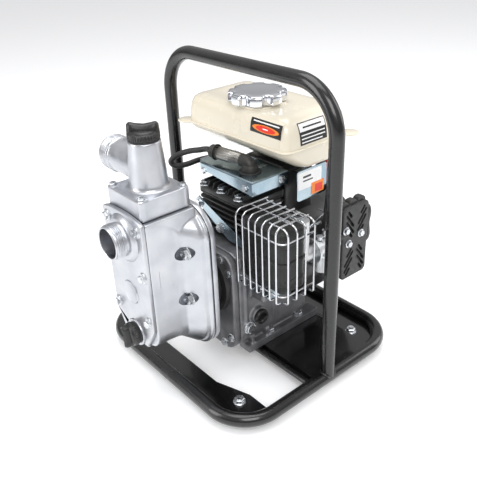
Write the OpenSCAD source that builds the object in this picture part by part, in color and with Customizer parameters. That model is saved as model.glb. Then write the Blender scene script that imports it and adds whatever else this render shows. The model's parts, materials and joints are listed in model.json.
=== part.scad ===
// Portable petrol water pump: tube frame, side-valve engine, self-priming pump.
// Millimetres, +Z up. Origin on the ground, under the middle of the overall length and width.
// X runs along the crankshaft: the pump is at -X and the recoil starter at +X.

/* [Frame] */
// Outer diameter of the frame tube
tube_d = 20; // [16:1:25]
// Wall of the frame tube
tube_wall = 1.5; // [1:0.5:2.5]
// Base loop, centre to centre along X
base_l = 320; // [300:5:400]
// Base loop, centre to centre along Y
base_w = 344; // [330:5:420]
// Corner radius of the base loop centreline
base_r = 59; // [40:1:75]
// Height of the hoop centreline above the ground
hoop_h = 443; // [435:5:540]
// Corner radius of the hoop centreline
hoop_r = 63; // [40:1:80]
// Hoop forward of the base loop's middle
hoop_off = 7; // [0:1:12]
// Height of the rubber feet
foot_h = 10; // [8:1:16]
// Diameter of a rubber foot
foot_d = 30; // [24:1:36]
// Thickness of the foot plates and the engine bed
plate_t = 3; // [2:0.5:4]
// Foot bolt distance from the centreline of the end tube
foot_in_x = 41; // [36:1:46]
// Foot bolt distance from the centreline of the side tube
foot_in_y = 51; // [44:1:58]
// Engine bed: front edge before the base loop's middle
bed_off = -20; // [-24:1:-18]
// Engine bed: length along X
bed_l = 118; // [112:1:126]

/* [Engine] */
// Height of the crankshaft axis above the ground
crank_z = 150; // [148:1:175]
// Sideways place of the crankshaft axis
axis_y = -4; // [-8:1:2]
// Cylinder bore
bore_d = 52; // [46:1:54]
// Piston stroke
stroke = 41; // [36:1:44]
// Shaft diameter of the crankshaft
shaft_d = 20; // [16:1:22]
// Fin count on the cylinder
fin_count = 7; // [5:1:8]
// Pitch of the cylinder fins
fin_pitch = 8.5; // [7:0.5:9]
// Outer radius of the fan housing
fan_r = 88; // [84:1:90]
// Radius of the recoil cover
recoil_r = 76; // [70:1:78]
// Rope groove radius of the starter reel
reel_r = 34; // [28:1:38]

/* [Pump] */
// Distance from the crankcase face to the pump back plate
bracket_l = 30; // [24:1:36]
// Depth of the pump casing
casing_l = 83; // [76:1:95]
// Width of the pump back plate
pump_w = 132; // [124:1:140]
// Height of the pump back plate
pump_h = 220; // [205:1:230]
// Middle height of the pump back plate
pump_mid_z = 180; // [176:1:184]
// Wall of the pump castings
cast_wall = 4; // [3:0.5:5]
// Outside diameter of the hose threads
port_d = 47.8; // [42:0.1:60]
// Bore of the hose ports
port_bore = 40; // [34:1:41]
// Inlet height above the crankshaft
inlet_up = 112; // [106:1:116]
// Outlet height above the tower flange
outlet_up = 25; // [24:1:34]
// Impeller diameter
impeller_d = 75; // [68:1:76]

/* [Tank and muffler] */
// Fuel tank length along X
tank_l = 124; // [110:1:128]
// Fuel tank width along Y
tank_w = 218; // [190:1:230]
// Height of the tank seam above the ground
tank_z = 341; // [338:1:346]
// Height of the upper tank shell
tank_up = 42; // [34:1:46]
// Fuel cap diameter
cap_d = 84; // [70:1:86]
// Wire diameter of the muffler guard
wire_d = 3; // [2:0.5:4]

/* [Hidden] */
$fn = 48;
eps = 0.01;
fit = 0.3;          // running clearance between bodies
shaft_fit = 0.05;   // radial clearance of a shaft in its bearing

// The base loop's middle along X, so that the origin is under the middle of the whole pump
mid_x = 23;

// Frame places
hoop_x = mid_x + hoop_off;
bed_x = mid_x + bed_off;
tube_z = foot_h + tube_d / 2 - 2;
tube_top = tube_z + tube_d / 2;
foot_plate_z = foot_h;
foot_x = base_l / 2 - foot_in_x;
foot_y = base_w / 2 - foot_in_y;
strip_w = 43;       // foot plate strip, from the end tube's centreline
flare_w = 61;       // foot plate at its corners
bed_top = tube_top;

// Engine places along X
case_x0 = mid_x - 75;      // pump-side face of the crankcase cover
cover_t = 12;
case_x1 = mid_x + 38;       // flywheel-side face of the crankcase
cyl_x = mid_x - 4;
fan_x1 = mid_x + 118;       // outer face of the fan housing
rope_x = mid_x + 170;       // plane of the starter rope
recoil_x1 = mid_x + 180;
sheet_t = 1.5;

// Engine heights
case_bottom = bed_top + 12;
case_top = crank_z + 50;
deck_z = case_top + 64;
head_t = 16;
shroud_z0 = deck_z + head_t + 2;
shroud_h = 20;
pin_up = 75 - stroke / 2;   // gudgeon pin above the crankshaft at bottom dead centre
case_r = 58;           // half width of the crankcase
foot_half = 62;        // half width over the engine feet

// Pump places along X, from the crankcase outwards
back_x1 = case_x0 - bracket_l;
back_t = 8;
gasket_t = 1;
casing_x1 = back_x1 - back_t - gasket_t;
casing_x0 = casing_x1 - casing_l + 2 * gasket_t;
front_x1 = casing_x0 - gasket_t;
front_t = 6;
front_x0 = front_x1 - front_t;
step_x = casing_x0 + 46;    // where the narrow front box meets the rear shell
front_w = 92;
deck_pump_z = pump_mid_z + 113;
front_foot_z = pump_mid_z - 78;
inlet_z = crank_z + inlet_up;
inlet_l = 24;
tower_x = mid_x - 156;
tower_l = 70;
tower_w = 78;
tower_box_h = 27;
tower_front = 4;    // extra length of the tower box towards the front cover
tower_z0 = deck_pump_z + gasket_t;
tower_top = tower_z0 + 88;
outlet_z = tower_z0 + tower_box_h + outlet_up;
outlet_y = 78;
drain_z = pump_mid_z - 66;
drain_d = 24;
plug_d = 33;        // bore for the priming plug
thread_pitch = 2.3;

// Tank places
tank_x0 = mid_x + 2;
tank_y0 = -91;
tank_r = 18;
tank_low = 33;
cap_x = mid_x + 44;
cap_y = 10;
cap_h = 15;
cap_z = tank_z + tank_up + 3;

// Muffler and its guard
guard_x0 = mid_x - 66;
guard_x1 = mid_x - 3;
guard_y0 = -153;
guard_y1 = -64;
guard_z0 = 162;
guard_z1 = 276;
muffler_gap = 9;
stay_x = [mid_x - 30, mid_x];
stay_y = axis_y - case_r - 16;
stay_z = 138;       // underside of the muffler stay
stay_t = 3;

// Air cleaner
cleaner_x0 = mid_x + 97;
cleaner_x1 = mid_x + 154;
cleaner_y0 = -115;
cleaner_d = 21;
cleaner_z0 = 114;
cleaner_z1 = 242;
carb_y = -107;
carb_z = 190;
carb_x0 = mid_x + 36;
carb_x1 = mid_x + 84;

// ---- shared shapes ----

module along_x(x0, len) {
    translate([x0, 0, 0]) rotate([90, 0, 90]) linear_extrude(len) children();
}

module along_y(y0, len) {
    translate([0, y0 + len, 0]) rotate([90, 0, 0]) linear_extrude(len) children();
}

module rod_x(x0, len, d) {
    translate([x0, 0, 0]) rotate([0, 90, 0]) cylinder(d = d, h = len);
}

module rod_y(y0, len, d) {
    translate([0, y0, 0]) rotate([-90, 0, 0]) cylinder(d = d, h = len);
}

// Rectangle with true round corners
module round_rect(w, h, r) {
    square([w - 2 * r, h], center = true);
    square([w, h - 2 * r], center = true);
    for (sx = [-1, 1], sy = [-1, 1])
        translate([sx * (w / 2 - r), sy * (h / 2 - r)]) circle(r = r);
}

module at_axis() {
    translate([0, axis_y, crank_z]) children();
}

// Hexagon flange bolt with its head above z = 0 and its shank below
module bolt(d, len, head_h) {
    cylinder(d = 1.75 * d, h = head_h, $fn = 6);
    cylinder(d = 2.1 * d, h = 0.25 * head_h);
    translate([0, 0, -len]) cylinder(d = d, h = len + eps);
}

// Male hose thread: straight crests with V grooves, from z = 0 to len
module thread_sleeve(d, bore, len, pitch, depth) {
    turns = floor((len - 2) / pitch);
    grooves = [for (i = [0 : turns - 1]) for (p = [
        [d / 2, 1 + i * pitch],
        [d / 2 - depth, 1 + (i + 0.45) * pitch],
        [d / 2, 1 + (i + 0.9) * pitch]]) p];
    rotate_extrude()
        polygon(concat([[bore / 2, 0], [d / 2, 0]], grooves, [[d / 2, len], [bore / 2, len]]));
}

// ---- frame ----

module at_mid() {
    translate([mid_x, 0, 0]) children();
}

module quarter_bend(r, d) {
    rotate_extrude(angle = 90) translate([r, 0]) circle(d = d);
}

module loop_solid(d) {
    straight_x = base_l - 2 * base_r;
    straight_y = base_w - 2 * base_r;
    translate([0, 0, tube_z]) {
        for (s = [-1, 1]) {
            translate([0, s * base_w / 2, 0]) rod_x(-straight_x / 2, straight_x, d);
            translate([s * base_l / 2, 0, 0]) rod_y(-straight_y / 2, straight_y, d);
        }
        for (i = [0 : 3])
            rotate([0, 0, 90 * i])
                translate([(i % 2 == 0 ? straight_x : straight_y) / 2,
                           (i % 2 == 0 ? straight_y : straight_x) / 2, 0])
                    quarter_bend(base_r, d);
    }
}

module base_loop() {
    color("#1c1c1e") at_mid() difference() {
        loop_solid(tube_d);
        loop_solid(tube_d - 2 * tube_wall);
    }
}

module hoop_solid(d, from_z) {
    flat_w = base_w - 2 * hoop_r;
    leg_top = hoop_h - hoop_r;
    for (s = [-1, 1])
        translate([hoop_x, s * base_w / 2, from_z]) cylinder(d = d, h = leg_top - from_z);
    translate([hoop_x, 0, hoop_h]) rod_y(-flat_w / 2, flat_w, d);
    translate([hoop_x, flat_w / 2, leg_top]) rotate([90, 0, 90]) quarter_bend(hoop_r, d);
    translate([hoop_x, -flat_w / 2, leg_top]) rotate([90, 0, -90]) quarter_bend(hoop_r, d);
}

module roll_hoop() {
    color("#1c1c1e") difference() {
        hoop_solid(tube_d, tube_z);
        hoop_solid(tube_d - 2 * tube_wall, tube_z - 1);
        for (s = [-1, 1])
            translate([0, s * base_w / 2, tube_z]) rod_x(hoop_x - tube_d, 2 * tube_d, tube_d);
    }
}

// One end's plate, drawn round the loop's middle with its corners towards -X
module foot_plate() {
    end_x = base_l / 2;
    side_y = base_w / 2;
    neck_y = side_y - 105;
    difference() {
        translate([0, 0, foot_plate_z]) linear_extrude(plate_t) difference() {
            intersection() {
                round_rect(base_l, base_w, base_r);
                polygon([
                    [-end_x, -side_y], [flare_w - end_x, -side_y], [flare_w - end_x, -foot_y],
                    [strip_w - end_x, -neck_y], [strip_w - end_x, neck_y],
                    [flare_w - end_x, foot_y], [flare_w - end_x, side_y], [-end_x, side_y]]);
            }
            for (s = [-1, 1]) translate([-foot_x, s * foot_y]) circle(d = 8.6);
        }
        loop_solid(tube_d);
    }
}

module front_foot_plate() {
    color("#161617") at_mid() foot_plate();
}

module rear_foot_plate() {
    color("#161617") at_mid() rotate([0, 0, 180]) foot_plate();
}

module at_feet() {
    for (sx = [-1, 1], sy = [-1, 1]) translate([mid_x + sx * foot_x, sy * foot_y, 0]) children();
}

module rubber_feet() {
    color("#202022") at_feet() difference() {
        cylinder(d1 = foot_d - 4, d2 = foot_d, h = foot_h);
        translate([0, 0, -eps]) cylinder(d = 16, h = 5 + eps);
        cylinder(d = 8.6, h = foot_h + eps);
    }
}

module foot_bolts() {
    nut_z = foot_plate_z + plate_t;
    color("#c9ccd0") at_feet() {
        translate([0, 0, 1]) cylinder(d = 14, h = 4, $fn = 6);
        translate([0, 0, 1]) cylinder(d = 8, h = nut_z + 9 - 1);
        translate([0, 0, nut_z]) cylinder(d = 16, h = 1.5);
        translate([0, 0, nut_z]) cylinder(d = 14, h = 6.5, $fn = 6);
    }
}

bed_bolt_x = [mid_x, mid_x + 62];
bed_bolt_y = 52;

module at_bed_bolts() {
    for (x = bed_bolt_x, s = [-1, 1]) translate([x, axis_y + s * bed_bolt_y, 0]) children();
}

module engine_bed() {
    color("#141415") difference() {
        union() {
            translate([bed_x, -base_w / 2, bed_top - plate_t]) cube([bed_l, base_w, plate_t]);
            for (x = [bed_x, bed_x + bed_l - plate_t])
                translate([x, -base_w / 2, foot_plate_z + 2])
                    cube([plate_t, base_w, bed_top - foot_plate_z - 2]);
        }
        at_mid() loop_solid(tube_d);
        for (s = [-1, 1])
            translate([hoop_x, s * base_w / 2, 0]) cylinder(d = tube_d + 2 * fit, h = hoop_h);
        for (s = [-1, 1])
            translate([bed_x - 1, s > 0 ? base_w / 2 : -base_w / 2 - tube_d, 0])
                cube([bed_l + 2, tube_d, bed_top + 1]);
        at_bed_bolts() cylinder(d = 8.6, h = bed_top + 1);
    }
}

module cross_rail() {
    color("#1a1a1b") difference() {
        translate([bed_x - 5.2, 0, tube_z]) rod_y(-base_w / 2, base_w, 10);
        at_mid() loop_solid(tube_d);
        for (s = [-1, 1])
            translate([bed_x, s * (base_w / 2 + 10), tube_z]) cube([base_l, 20, 20], center = true);
    }
}

module engine_bolts() {
    foot_top = case_bottom;
    color("#c9ccd0") at_bed_bolts() {
        translate([0, 0, foot_top]) bolt(8, foot_top - bed_top + plate_t + 9, 6);
        translate([0, 0, bed_top - plate_t - 6.5]) cylinder(d = 14, h = 6.5, $fn = 6);
    }
}

// ---- pump ----

module pump_outline(w, h, r) {
    translate([axis_y, pump_mid_z]) round_rect(w, h, r);
}

// Narrow front box: straight sides, lower corners cut away, and the foot for the drain
module front_outline(inset) {
    half = front_w / 2 - inset;
    low = front_foot_z + inset;
    translate([axis_y, 0]) polygon([
        [-half, low + 34], [-half + 20, low], [half - 20, low], [half, low + 34],
        [half, deck_pump_z - inset], [-half, deck_pump_z - inset]]);
}

module at_inlet() {
    translate([0, axis_y, inlet_z]) children();
}

module at_drain() {
    translate([0, axis_y, drain_z]) children();
}

cover_bolt_yz = [
    [-35, deck_pump_z - 10], [35, deck_pump_z - 10],
    [-38, pump_mid_z + 38],
    [-38, pump_mid_z - 32], [38, pump_mid_z - 32]];

module at_cover_bolts() {
    for (p = cover_bolt_yz)
        translate([front_x0, axis_y + p[0], p[1]]) rotate([0, -90, 0]) children();
}

// Round opening of the front box round the drain plug
drain_boss_d = 40;
// Arched top edge of the front cover
arch_r = 136;
arch_up = 8;

module front_cover() {
    color("#d3d6db") difference() {
        union() {
            along_x(front_x0, front_t) difference() {
                union() {
                    front_outline(0);
                    translate([axis_y, deck_pump_z + arch_up - arch_r]) intersection() {
                        circle(r = arch_r);
                        translate([-front_w / 2, 0]) square([front_w, arch_r + 1]);
                    }
                }
                translate([axis_y, drain_z]) circle(d = drain_boss_d + 2 * fit);
                translate([axis_y - drain_boss_d / 2 - fit, 0])
                    square([drain_boss_d + 2 * fit, drain_z]);
            }
            at_inlet() rod_x(front_x0 - 4, 4 + eps, port_d + 11);
            at_inlet() translate([front_x0 - inlet_l, 0, 0]) rotate([0, 90, 0])
                thread_sleeve(port_d, port_bore, inlet_l - 4, thread_pitch, 1.1);
            translate([0, axis_y, pump_mid_z]) rod_x(front_x0 - 1.5, 2, 34);
            at_cover_bolts() cylinder(d = 15, h = 1.5);
        }
        at_inlet() rod_x(front_x0 - inlet_l - 1, inlet_l + front_t + 2, port_bore);
        at_cover_bolts() translate([0, 0, -front_t - 1]) cylinder(d = 6.4, h = front_t + 4);
    }
}

module cover_gasket() {
    color("#2b2b2b") difference() {
        along_x(front_x1, gasket_t) difference() {
            front_outline(0);
            front_outline(9);
            translate([axis_y, drain_z]) circle(d = drain_boss_d + 2 * fit);
            translate([axis_y - drain_boss_d / 2 - fit, 0]) square([drain_boss_d + 2 * fit, drain_z]);
        }
        at_cover_bolts() translate([0, 0, -front_t - 2]) cylinder(d = 6.4, h = front_t + 4);
    }
}

casing_bolt_z = [-14, 56];
casing_bolt_head = step_x + 6;      // plane under the bolt heads
cover_bolt_l = 24;
tower_screw_in = 6;                 // screw length inside the casing deck
// Round-ended pockets that reach the casing bolts
pocket_d = 19;
pocket_l = 14;

module at_casing_bolts() {
    for (s = [-1, 1], z = casing_bolt_z)
        translate([casing_bolt_head, axis_y + s * (front_w / 2 + 5), pump_mid_z + z])
            rotate([0, -90, 0]) children();
}

// Water way from the casing deck up into the outlet tower
tower_bore = 36;

module pump_casing() {
    rear_w = pump_w - 6;
    rear_h = pump_h - 8;
    rear_l = casing_x1 - step_x;
    color("#cdd0d6") difference() {
        union() {
            along_x(casing_x0, casing_l - 2 * gasket_t) intersection() {
                front_outline(0);
                pump_outline(rear_w, rear_h + 30, 30);
            }
            along_x(step_x, rear_l) pump_outline(rear_w, rear_h, 41);
            along_x(casing_x1 - 5, 5) pump_outline(pump_w, pump_h, 45);
            translate([tower_x - tower_l / 2 - tower_front, axis_y - tower_w / 2, pump_mid_z + 60])
                cube([tower_l + tower_front, tower_w, deck_pump_z - pump_mid_z - 60]);
            at_drain() rod_x(front_x0 - 2, casing_l, drain_boss_d);
        }
        // front chamber, rear chamber and the wall between them with its impeller eye
        along_x(casing_x0 - 1, step_x - casing_x0 - 3) difference() {
            front_outline(cast_wall + 4);
            translate([axis_y, drain_z]) circle(d = drain_boss_d);
        }
        along_x(step_x + 3, rear_l) pump_outline(rear_w - 2 * cast_wall, rear_h - 2 * cast_wall, 37);
        at_axis() rod_x(step_x - 3, 8, 42);
        // outlet port in the deck, behind the dividing wall
        translate([tower_x + 14, axis_y, deck_pump_z - 20]) cylinder(d = 26, h = 40);
        // drain hole
        at_drain() rod_x(front_x0 - 3, casing_l - 20, drain_d - 3);
        at_casing_bolts() translate([0, 0, -60]) cylinder(d = 8.6, h = 60);
        at_casing_bolts() cylinder(d = pocket_d, h = pocket_l);
        at_casing_bolts() translate([0, 0, pocket_l]) sphere(d = pocket_d);
        at_cover_bolts() translate([0, 0, -cover_bolt_l]) cylinder(d = 5.6, h = cover_bolt_l + 8);
        at_tower_screws() translate([0, 0, -tower_screw_in - 1]) cylinder(d = 4.6, h = 20);
    }
}

module at_tower_screws() {
    for (sx = [-1, 1], sy = [-1, 1])
        translate([tower_x + sx * (tower_l / 2 - 6) - (sx < 0 ? tower_front : 0),
                   axis_y + sy * (tower_w / 2 - 6), tower_z0])
            children();
}

volute_x0 = step_x + 3 + fit;
volute_l = 20;

module volute() {
    wall_r = impeller_d / 2 + 4;
    color("#b9bcc2") difference() {
        at_axis() rod_x(volute_x0, volute_l, 2 * (wall_r + 3));
        at_axis() rod_x(volute_x0 + 3, volute_l, 2 * wall_r);
        at_axis() rod_x(volute_x0 - 1, 6, 38);
        // throat that lets the water leave upwards
        translate([volute_x0 + 3, axis_y + 10, crank_z]) cube([volute_l, 22, wall_r + 10]);
    }
}

module back_plate() {
    color("#c4c7cd") difference() {
        along_x(back_x1 - back_t, back_t) pump_outline(pump_w, pump_h, 45);
        at_axis() rod_x(back_x1 - back_t - 1, back_t + 2, 40);
        at_casing_bolts() translate([0, 0, -60]) cylinder(d = 8.6, h = 60);
        at_bracket_bolts() rod_x(-1, 40, 6.6);
    }
}

module at_bracket_bolts() {
    for (a = [45 : 90 : 315])
        at_axis() rotate([a, 0, 0]) translate([back_x1 - back_t, 0, 46]) children();
}

module pump_bracket() {
    color("#3a3b3f") difference() {
        union() {
            at_axis() rod_x(back_x1, bracket_l, 84);
            at_axis() rod_x(back_x1, 8, 108);
            at_axis() rod_x(case_x0 - 8, 8, 108);
        }
        at_axis() rod_x(back_x1 - 1, bracket_l + 2, 70);
        at_bracket_bolts() rod_x(-1, 18, 6.6);
    }
}

module outlet_tower() {
    outlet_len = outlet_y - axis_y;
    smooth = 18;        // plain pipe between the tower and its thread
    thread_l = 18;
    color("#d6d9de") difference() {
        union() {
            translate([tower_x - tower_front / 2, axis_y, tower_z0]) linear_extrude(tower_box_h)
                round_rect(tower_l + tower_front, tower_w, 4);
            translate([tower_x, axis_y, tower_z0 + tower_box_h - eps])
                cylinder(d1 = 50, d2 = plug_d + 8, h = tower_top - tower_z0 - tower_box_h + eps);
            translate([tower_x, axis_y, outlet_z])
                rod_y(0, outlet_len - thread_l + eps, port_d - 3);
            translate([tower_x, axis_y, outlet_z]) rod_y(outlet_len - thread_l - 3, 3, port_d);
            translate([tower_x, outlet_y - thread_l, outlet_z]) rotate([-90, 0, 0])
                thread_sleeve(port_d, port_bore, thread_l, thread_pitch, 1.1);
        }
        translate([tower_x, axis_y, outlet_z]) rod_y(0, outlet_len + 1, port_bore);
        translate([tower_x, axis_y, tower_z0 + tower_box_h - 4])
            cylinder(d1 = 40, d2 = plug_d, h = tower_top - tower_z0 - tower_box_h - 14);
        translate([tower_x, axis_y, tower_z0 + 20]) cylinder(d = plug_d, h = 200);
        translate([tower_x, axis_y, tower_z0 - 1]) linear_extrude(tower_box_h - 3)
            round_rect(tower_l - 20, tower_w - 24, 4);
        at_tower_screws() translate([0, 0, -1]) cylinder(d = 5.4, h = tower_box_h + 2);
    }
}

flap_t = 3;
flap_x = front_x1 + 2;
flap_pin_up = 20;   // hinge pin above the inlet axis

module inlet_flap() {
    color("#2c2a28") {
        at_inlet() rod_x(flap_x, flap_t, port_bore + 5);
        translate([flap_x, axis_y - 8, inlet_z]) cube([flap_t, 16, port_bore / 2 + 2.5]);
        translate([flap_x + flap_t / 2, 0, inlet_z + flap_pin_up]) rod_y(axis_y - 11, 22, 4);
    }
}

impeller_x0 = volute_x0 + 3 + 1;

module impeller() {
    color("#a8894a") at_axis() difference() {
        union() {
            rod_x(impeller_x0 + 10, 3, impeller_d);
            rod_x(impeller_x0 + 2, 11, 26);
            for (a = [0 : 72 : 359])
                rotate([a, 0, 0]) translate([impeller_x0, -2, 11]) cube([10 + eps, 4, impeller_d / 2 - 13]);
        }
        rod_x(impeller_x0 - 1, 20, shaft_d - 4);
    }
}

seal_x0 = impeller_x0 + 13;

module seal_ring() {
    color("#4a4a4c") at_axis() difference() {
        rod_x(seal_x0, 6, 30);
        rod_x(seal_x0 - 1, 8, shaft_d - 4);
    }
}

module seal_seat() {
    color("#e4e0d6") at_axis() difference() {
        rod_x(seal_x0 + 6 + fit, back_x1 - seal_x0 - 6 - fit, 40);
        rod_x(seal_x0 + 5, 40, shaft_d + 2);
    }
}

module cover_bolts() {
    color("#c9ccd0") at_cover_bolts() translate([0, 0, 1.5]) bolt(5.5, cover_bolt_l, 4.5);
}

module tower_screws() {
    color("#c9ccd0") at_tower_screws() translate([0, 0, tower_box_h]) difference() {
        union() {
            cylinder(d = 9, h = 3.6);
            translate([0, 0, -tower_box_h - tower_screw_in])
                cylinder(d = 4.5, h = tower_box_h + tower_screw_in + eps);
        }
        translate([0, 0, 1.6]) cylinder(d = 4.4, h = 3, $fn = 6);
    }
}

module casing_bolts() {
    color("#c9ccd0") at_casing_bolts() bolt(8, back_x1 - casing_bolt_head, 6);
}

// ---- screw plugs ----

module priming_seal() {
    color("#151515") translate([tower_x, axis_y, tower_top]) difference() {
        cylinder(d = plug_d + 7, h = 2);
        translate([0, 0, -1]) cylinder(d = plug_d - 3, h = 4);
    }
}

module wing(w, t, h) {
    // upright blade with a dished top edge
    rotate([90, 0, 0]) translate([0, 0, -t / 2]) linear_extrude(t) difference() {
        polygon([[-w / 2, 0], [w / 2, 0], [w / 2 - 2, h], [2 - w / 2, h]]);
        translate([0, h + w * 0.62]) circle(r = w * 0.72);
    }
}

module priming_plug() {
    color("#1b1b1d") translate([tower_x, axis_y, tower_top + 2]) {
        translate([0, 0, -14]) cylinder(d = plug_d - 2 * fit - 3, h = 14 + eps);
        cylinder(d = plug_d + 8, h = 9);
        translate([0, 0, 9 - eps]) cylinder(d1 = plug_d + 6, d2 = plug_d - 4, h = 3);
        for (a = [0 : 15 : 359]) rotate([0, 0, a]) translate([plug_d / 2 + 4, 0, 1]) cylinder(d = 1.6, h = 7);
        rotate([0, 0, -40]) translate([0, 0, 8]) wing(38, 13, 15);
    }
}

module drain_seal() {
    color("#151515") at_drain() rotate([0, -90, 0]) translate([0, 0, -(front_x0 - 2)]) difference() {
        cylinder(d = drain_d + 8, h = 2);
        translate([0, 0, -1]) cylinder(d = drain_d - 4, h = 4);
    }
}

module drain_plug() {
    color("#1b1b1d") at_drain() rotate([0, -90, 0]) translate([0, 0, -(front_x0 - 4)]) {
        translate([0, 0, -13]) cylinder(d = drain_d - 3 - 2 * fit - 1, h = 13 + eps);
        cylinder(d = drain_d + 10, h = 8);
        rotate([0, 0, 12]) translate([0, 0, 7]) wing(32, 12, 13);
    }
}

// ---- engine ----

module crankcase() {
    wall = 6;
    x0 = case_x0 + cover_t;
    len = case_x1 - x0;
    foot_l = bed_bolt_x[1] + 12 - bed_x - 4;
    color("#57585c") difference() {
        union() {
            along_x(x0, len) translate([axis_y, (case_top + case_bottom) / 2])
                round_rect(2 * case_r, case_top - case_bottom, 22);
            translate([bed_x + 4, axis_y - foot_half, bed_top])
                cube([foot_l, 2 * foot_half, case_bottom - bed_top + 4]);
            // ledge that carries the muffler stay
            translate([stay_x[0] - 11, stay_y - 11, stay_z - 12])
                cube([stay_x[1] - stay_x[0] + 22, axis_y - case_r - stay_y + 11 + eps, 12]);
            // oil filler boss on the muffler side, pointing outwards
            translate([oil_x, oil_y, oil_z]) rod_y(0, 24, 26);
        }
        along_x(x0 - 1, len - wall + 1) translate([axis_y, (case_top + case_bottom) / 2])
            round_rect(2 * (case_r - wall), case_top - case_bottom - 2 * wall, 16);
        // tunnel between the feet
        translate([bed_x, axis_y - foot_half + 24, bed_top - 1])
            cube([foot_l + 8, 2 * foot_half - 48, case_bottom - bed_top - 3]);
        // pockets that leave plain feet round the bolts past the crankcase
        translate([case_x1, axis_y - foot_half - 1, case_bottom])
            cube([60, 2 * foot_half + 2, 20]);
        at_axis() rod_x(case_x1 - wall - 1, wall + 2, bearing_d);
        translate([cyl_x, axis_y, case_top - wall - 1]) cylinder(d = bore_d + 9, h = wall + 2);
        translate([oil_x, oil_y - 1, oil_z]) rod_y(0, 34, oil_bore);
        translate([drain_bolt_x, axis_y - case_r - 1, drain_bolt_z]) rod_y(0, 20, 9);
        at_bed_bolts() cylinder(d = 8.6, h = case_bottom + 4 + eps);
        for (x = bed_bolt_x, s = [-1, 1])
            translate([x, axis_y + s * bed_bolt_y, case_bottom]) cylinder(d = 19, h = 9);
        for (x = stay_x) translate([x, stay_y, stay_z - 13]) cylinder(d = 7, h = 14);
    }
}

oil_x = mid_x - 31;
oil_y = axis_y - case_r - 8;
oil_z = 91;
oil_bore = 16;
drain_bolt_x = mid_x - 49;
drain_bolt_z = 76;
bearing_d = 47;
bearing_w = 14;

module crankcase_cover() {
    color("#4e4f53") difference() {
        union() {
            along_x(case_x0 + eps, cover_t - eps) translate([axis_y, (case_top + case_bottom) / 2])
                round_rect(2 * case_r, case_top - case_bottom, 22);
            at_axis() rod_x(case_x0 + cover_t - eps, 8, bearing_d + 12);
        }
        at_axis() rod_x(case_x0 + 6, cover_t + 8, bearing_d);
        at_axis() rod_x(case_x0 - 1, 20, 30);
    }
}

module cylinder_block() {
    fin_len = 78;
    fin_w = 104;
    color("#1e1e20") difference() {
        union() {
            translate([cyl_x, axis_y, case_top]) cylinder(d = bore_d + 16, h = deck_z - case_top);
            translate([cyl_x - 33, axis_y - 36, case_top]) cube([66, 72, 5]);
            // valve chest on the muffler side
            translate([cyl_x - 30, axis_y - 52, case_top + 8]) cube([60, 30, deck_z - case_top - 8]);
            for (i = [0 : fin_count - 1])
                translate([cyl_x, axis_y, deck_z - 2.5 - i * fin_pitch]) linear_extrude(2.5)
                    round_rect(fin_len, fin_w, 8);
        }
        translate([cyl_x, axis_y, case_top - 1]) cylinder(d = bore_d, h = deck_z - case_top + 2);
        // exhaust and intake ports
        translate([exhaust_x, axis_y - 60, port_z]) rod_y(0, 30, exhaust_d);
        translate([intake_x, axis_y - 60, port_z]) rod_y(0, 30, 16);
    }
}

exhaust_x = cyl_x - 21;
intake_x = cyl_x + 20;
port_z = case_top + 36;
exhaust_d = 16;
plug_x = mid_x - 6;
plug_y = -27;

module cylinder_head() {
    color("#232325") difference() {
        union() {
            translate([cyl_x, axis_y, deck_z]) linear_extrude(head_t / 2) round_rect(78, 104, 8);
            for (i = [-4 : 4])
                translate([cyl_x - 36, axis_y + i * 11 - 1.5, deck_z]) cube([72, 3, head_t]);
        }
        translate([cyl_x, axis_y, deck_z - 1]) cylinder(d = bore_d, h = 4);
        translate([plug_x, plug_y, deck_z - 1]) cylinder(d = 14, h = head_t + 2);
        translate([plug_x, plug_y, deck_z + 5]) cylinder(d = 26, h = head_t);
    }
}

shroud_x0 = mid_x - 32;
shroud_x1 = mid_x + 36;
shroud_y0 = axis_y - 56;
shroud_y1 = axis_y + 70;

module shroud() {
    top = shroud_z0 + shroud_h;
    color("#8fa6b5") difference() {
        translate([shroud_x0, shroud_y0, shroud_z0])
            cube([shroud_x1 - shroud_x0, shroud_y1 - shroud_y0, shroud_h]);
        translate([shroud_x0 + sheet_t, shroud_y0 + sheet_t, shroud_z0 - 1])
            cube([shroud_x1, shroud_y1 - shroud_y0 - 2 * sheet_t, shroud_h + 1 - sheet_t]);
        translate([plug_x, plug_y, top - 5]) cylinder(d = 32, h = 10);
        // cut corner at the back of the front edge
        translate([shroud_x0 - 1, shroud_y1 - 12, shroud_z0 - 1]) cube([14, 14, 8]);
    }
}

module strap_bracket() {
    // flat zinc strap that crosses the front of the cylinder and turns along the muffler
    strap_low = case_top + 3;
    color("#8b9dab") difference() {
        union() {
            along_x(strap_x, 2) polygon([
                [54, 246], [46, 254], [-52, 216], [-52, strap_low], [-20, strap_low + 2]]);
            translate([strap_x, -60, strap_low]) cube([2, 10, 216 - strap_low]);
            translate([strap_x, -60, strap_low]) cube([22, 2, 216 - strap_low]);
        }
        for (p = strap_bolt_yz) translate([strap_x - 1, p[0], p[1]]) rod_x(0, 4, 6.6);
    }
}

strap_x = cyl_x - 41;
strap_bolt_yz = [[44, 243], [-4, 219]];

module spark_plug() {
    color("#d8d8d6") translate([plug_x, plug_y, 0]) {
        translate([0, 0, deck_z]) cylinder(d = 13.8, h = 5 + eps);
        translate([0, 0, deck_z + 5]) cylinder(d = 23, h = 9, $fn = 6);
        translate([0, 0, deck_z + 14 - eps]) cylinder(d = 11, h = 18);
    }
}

boot_z = shroud_z0 + shroud_h + 10;
boot_l = 62;
boot_dir = 100;     // heading of the boot arm, degrees from +X

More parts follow.
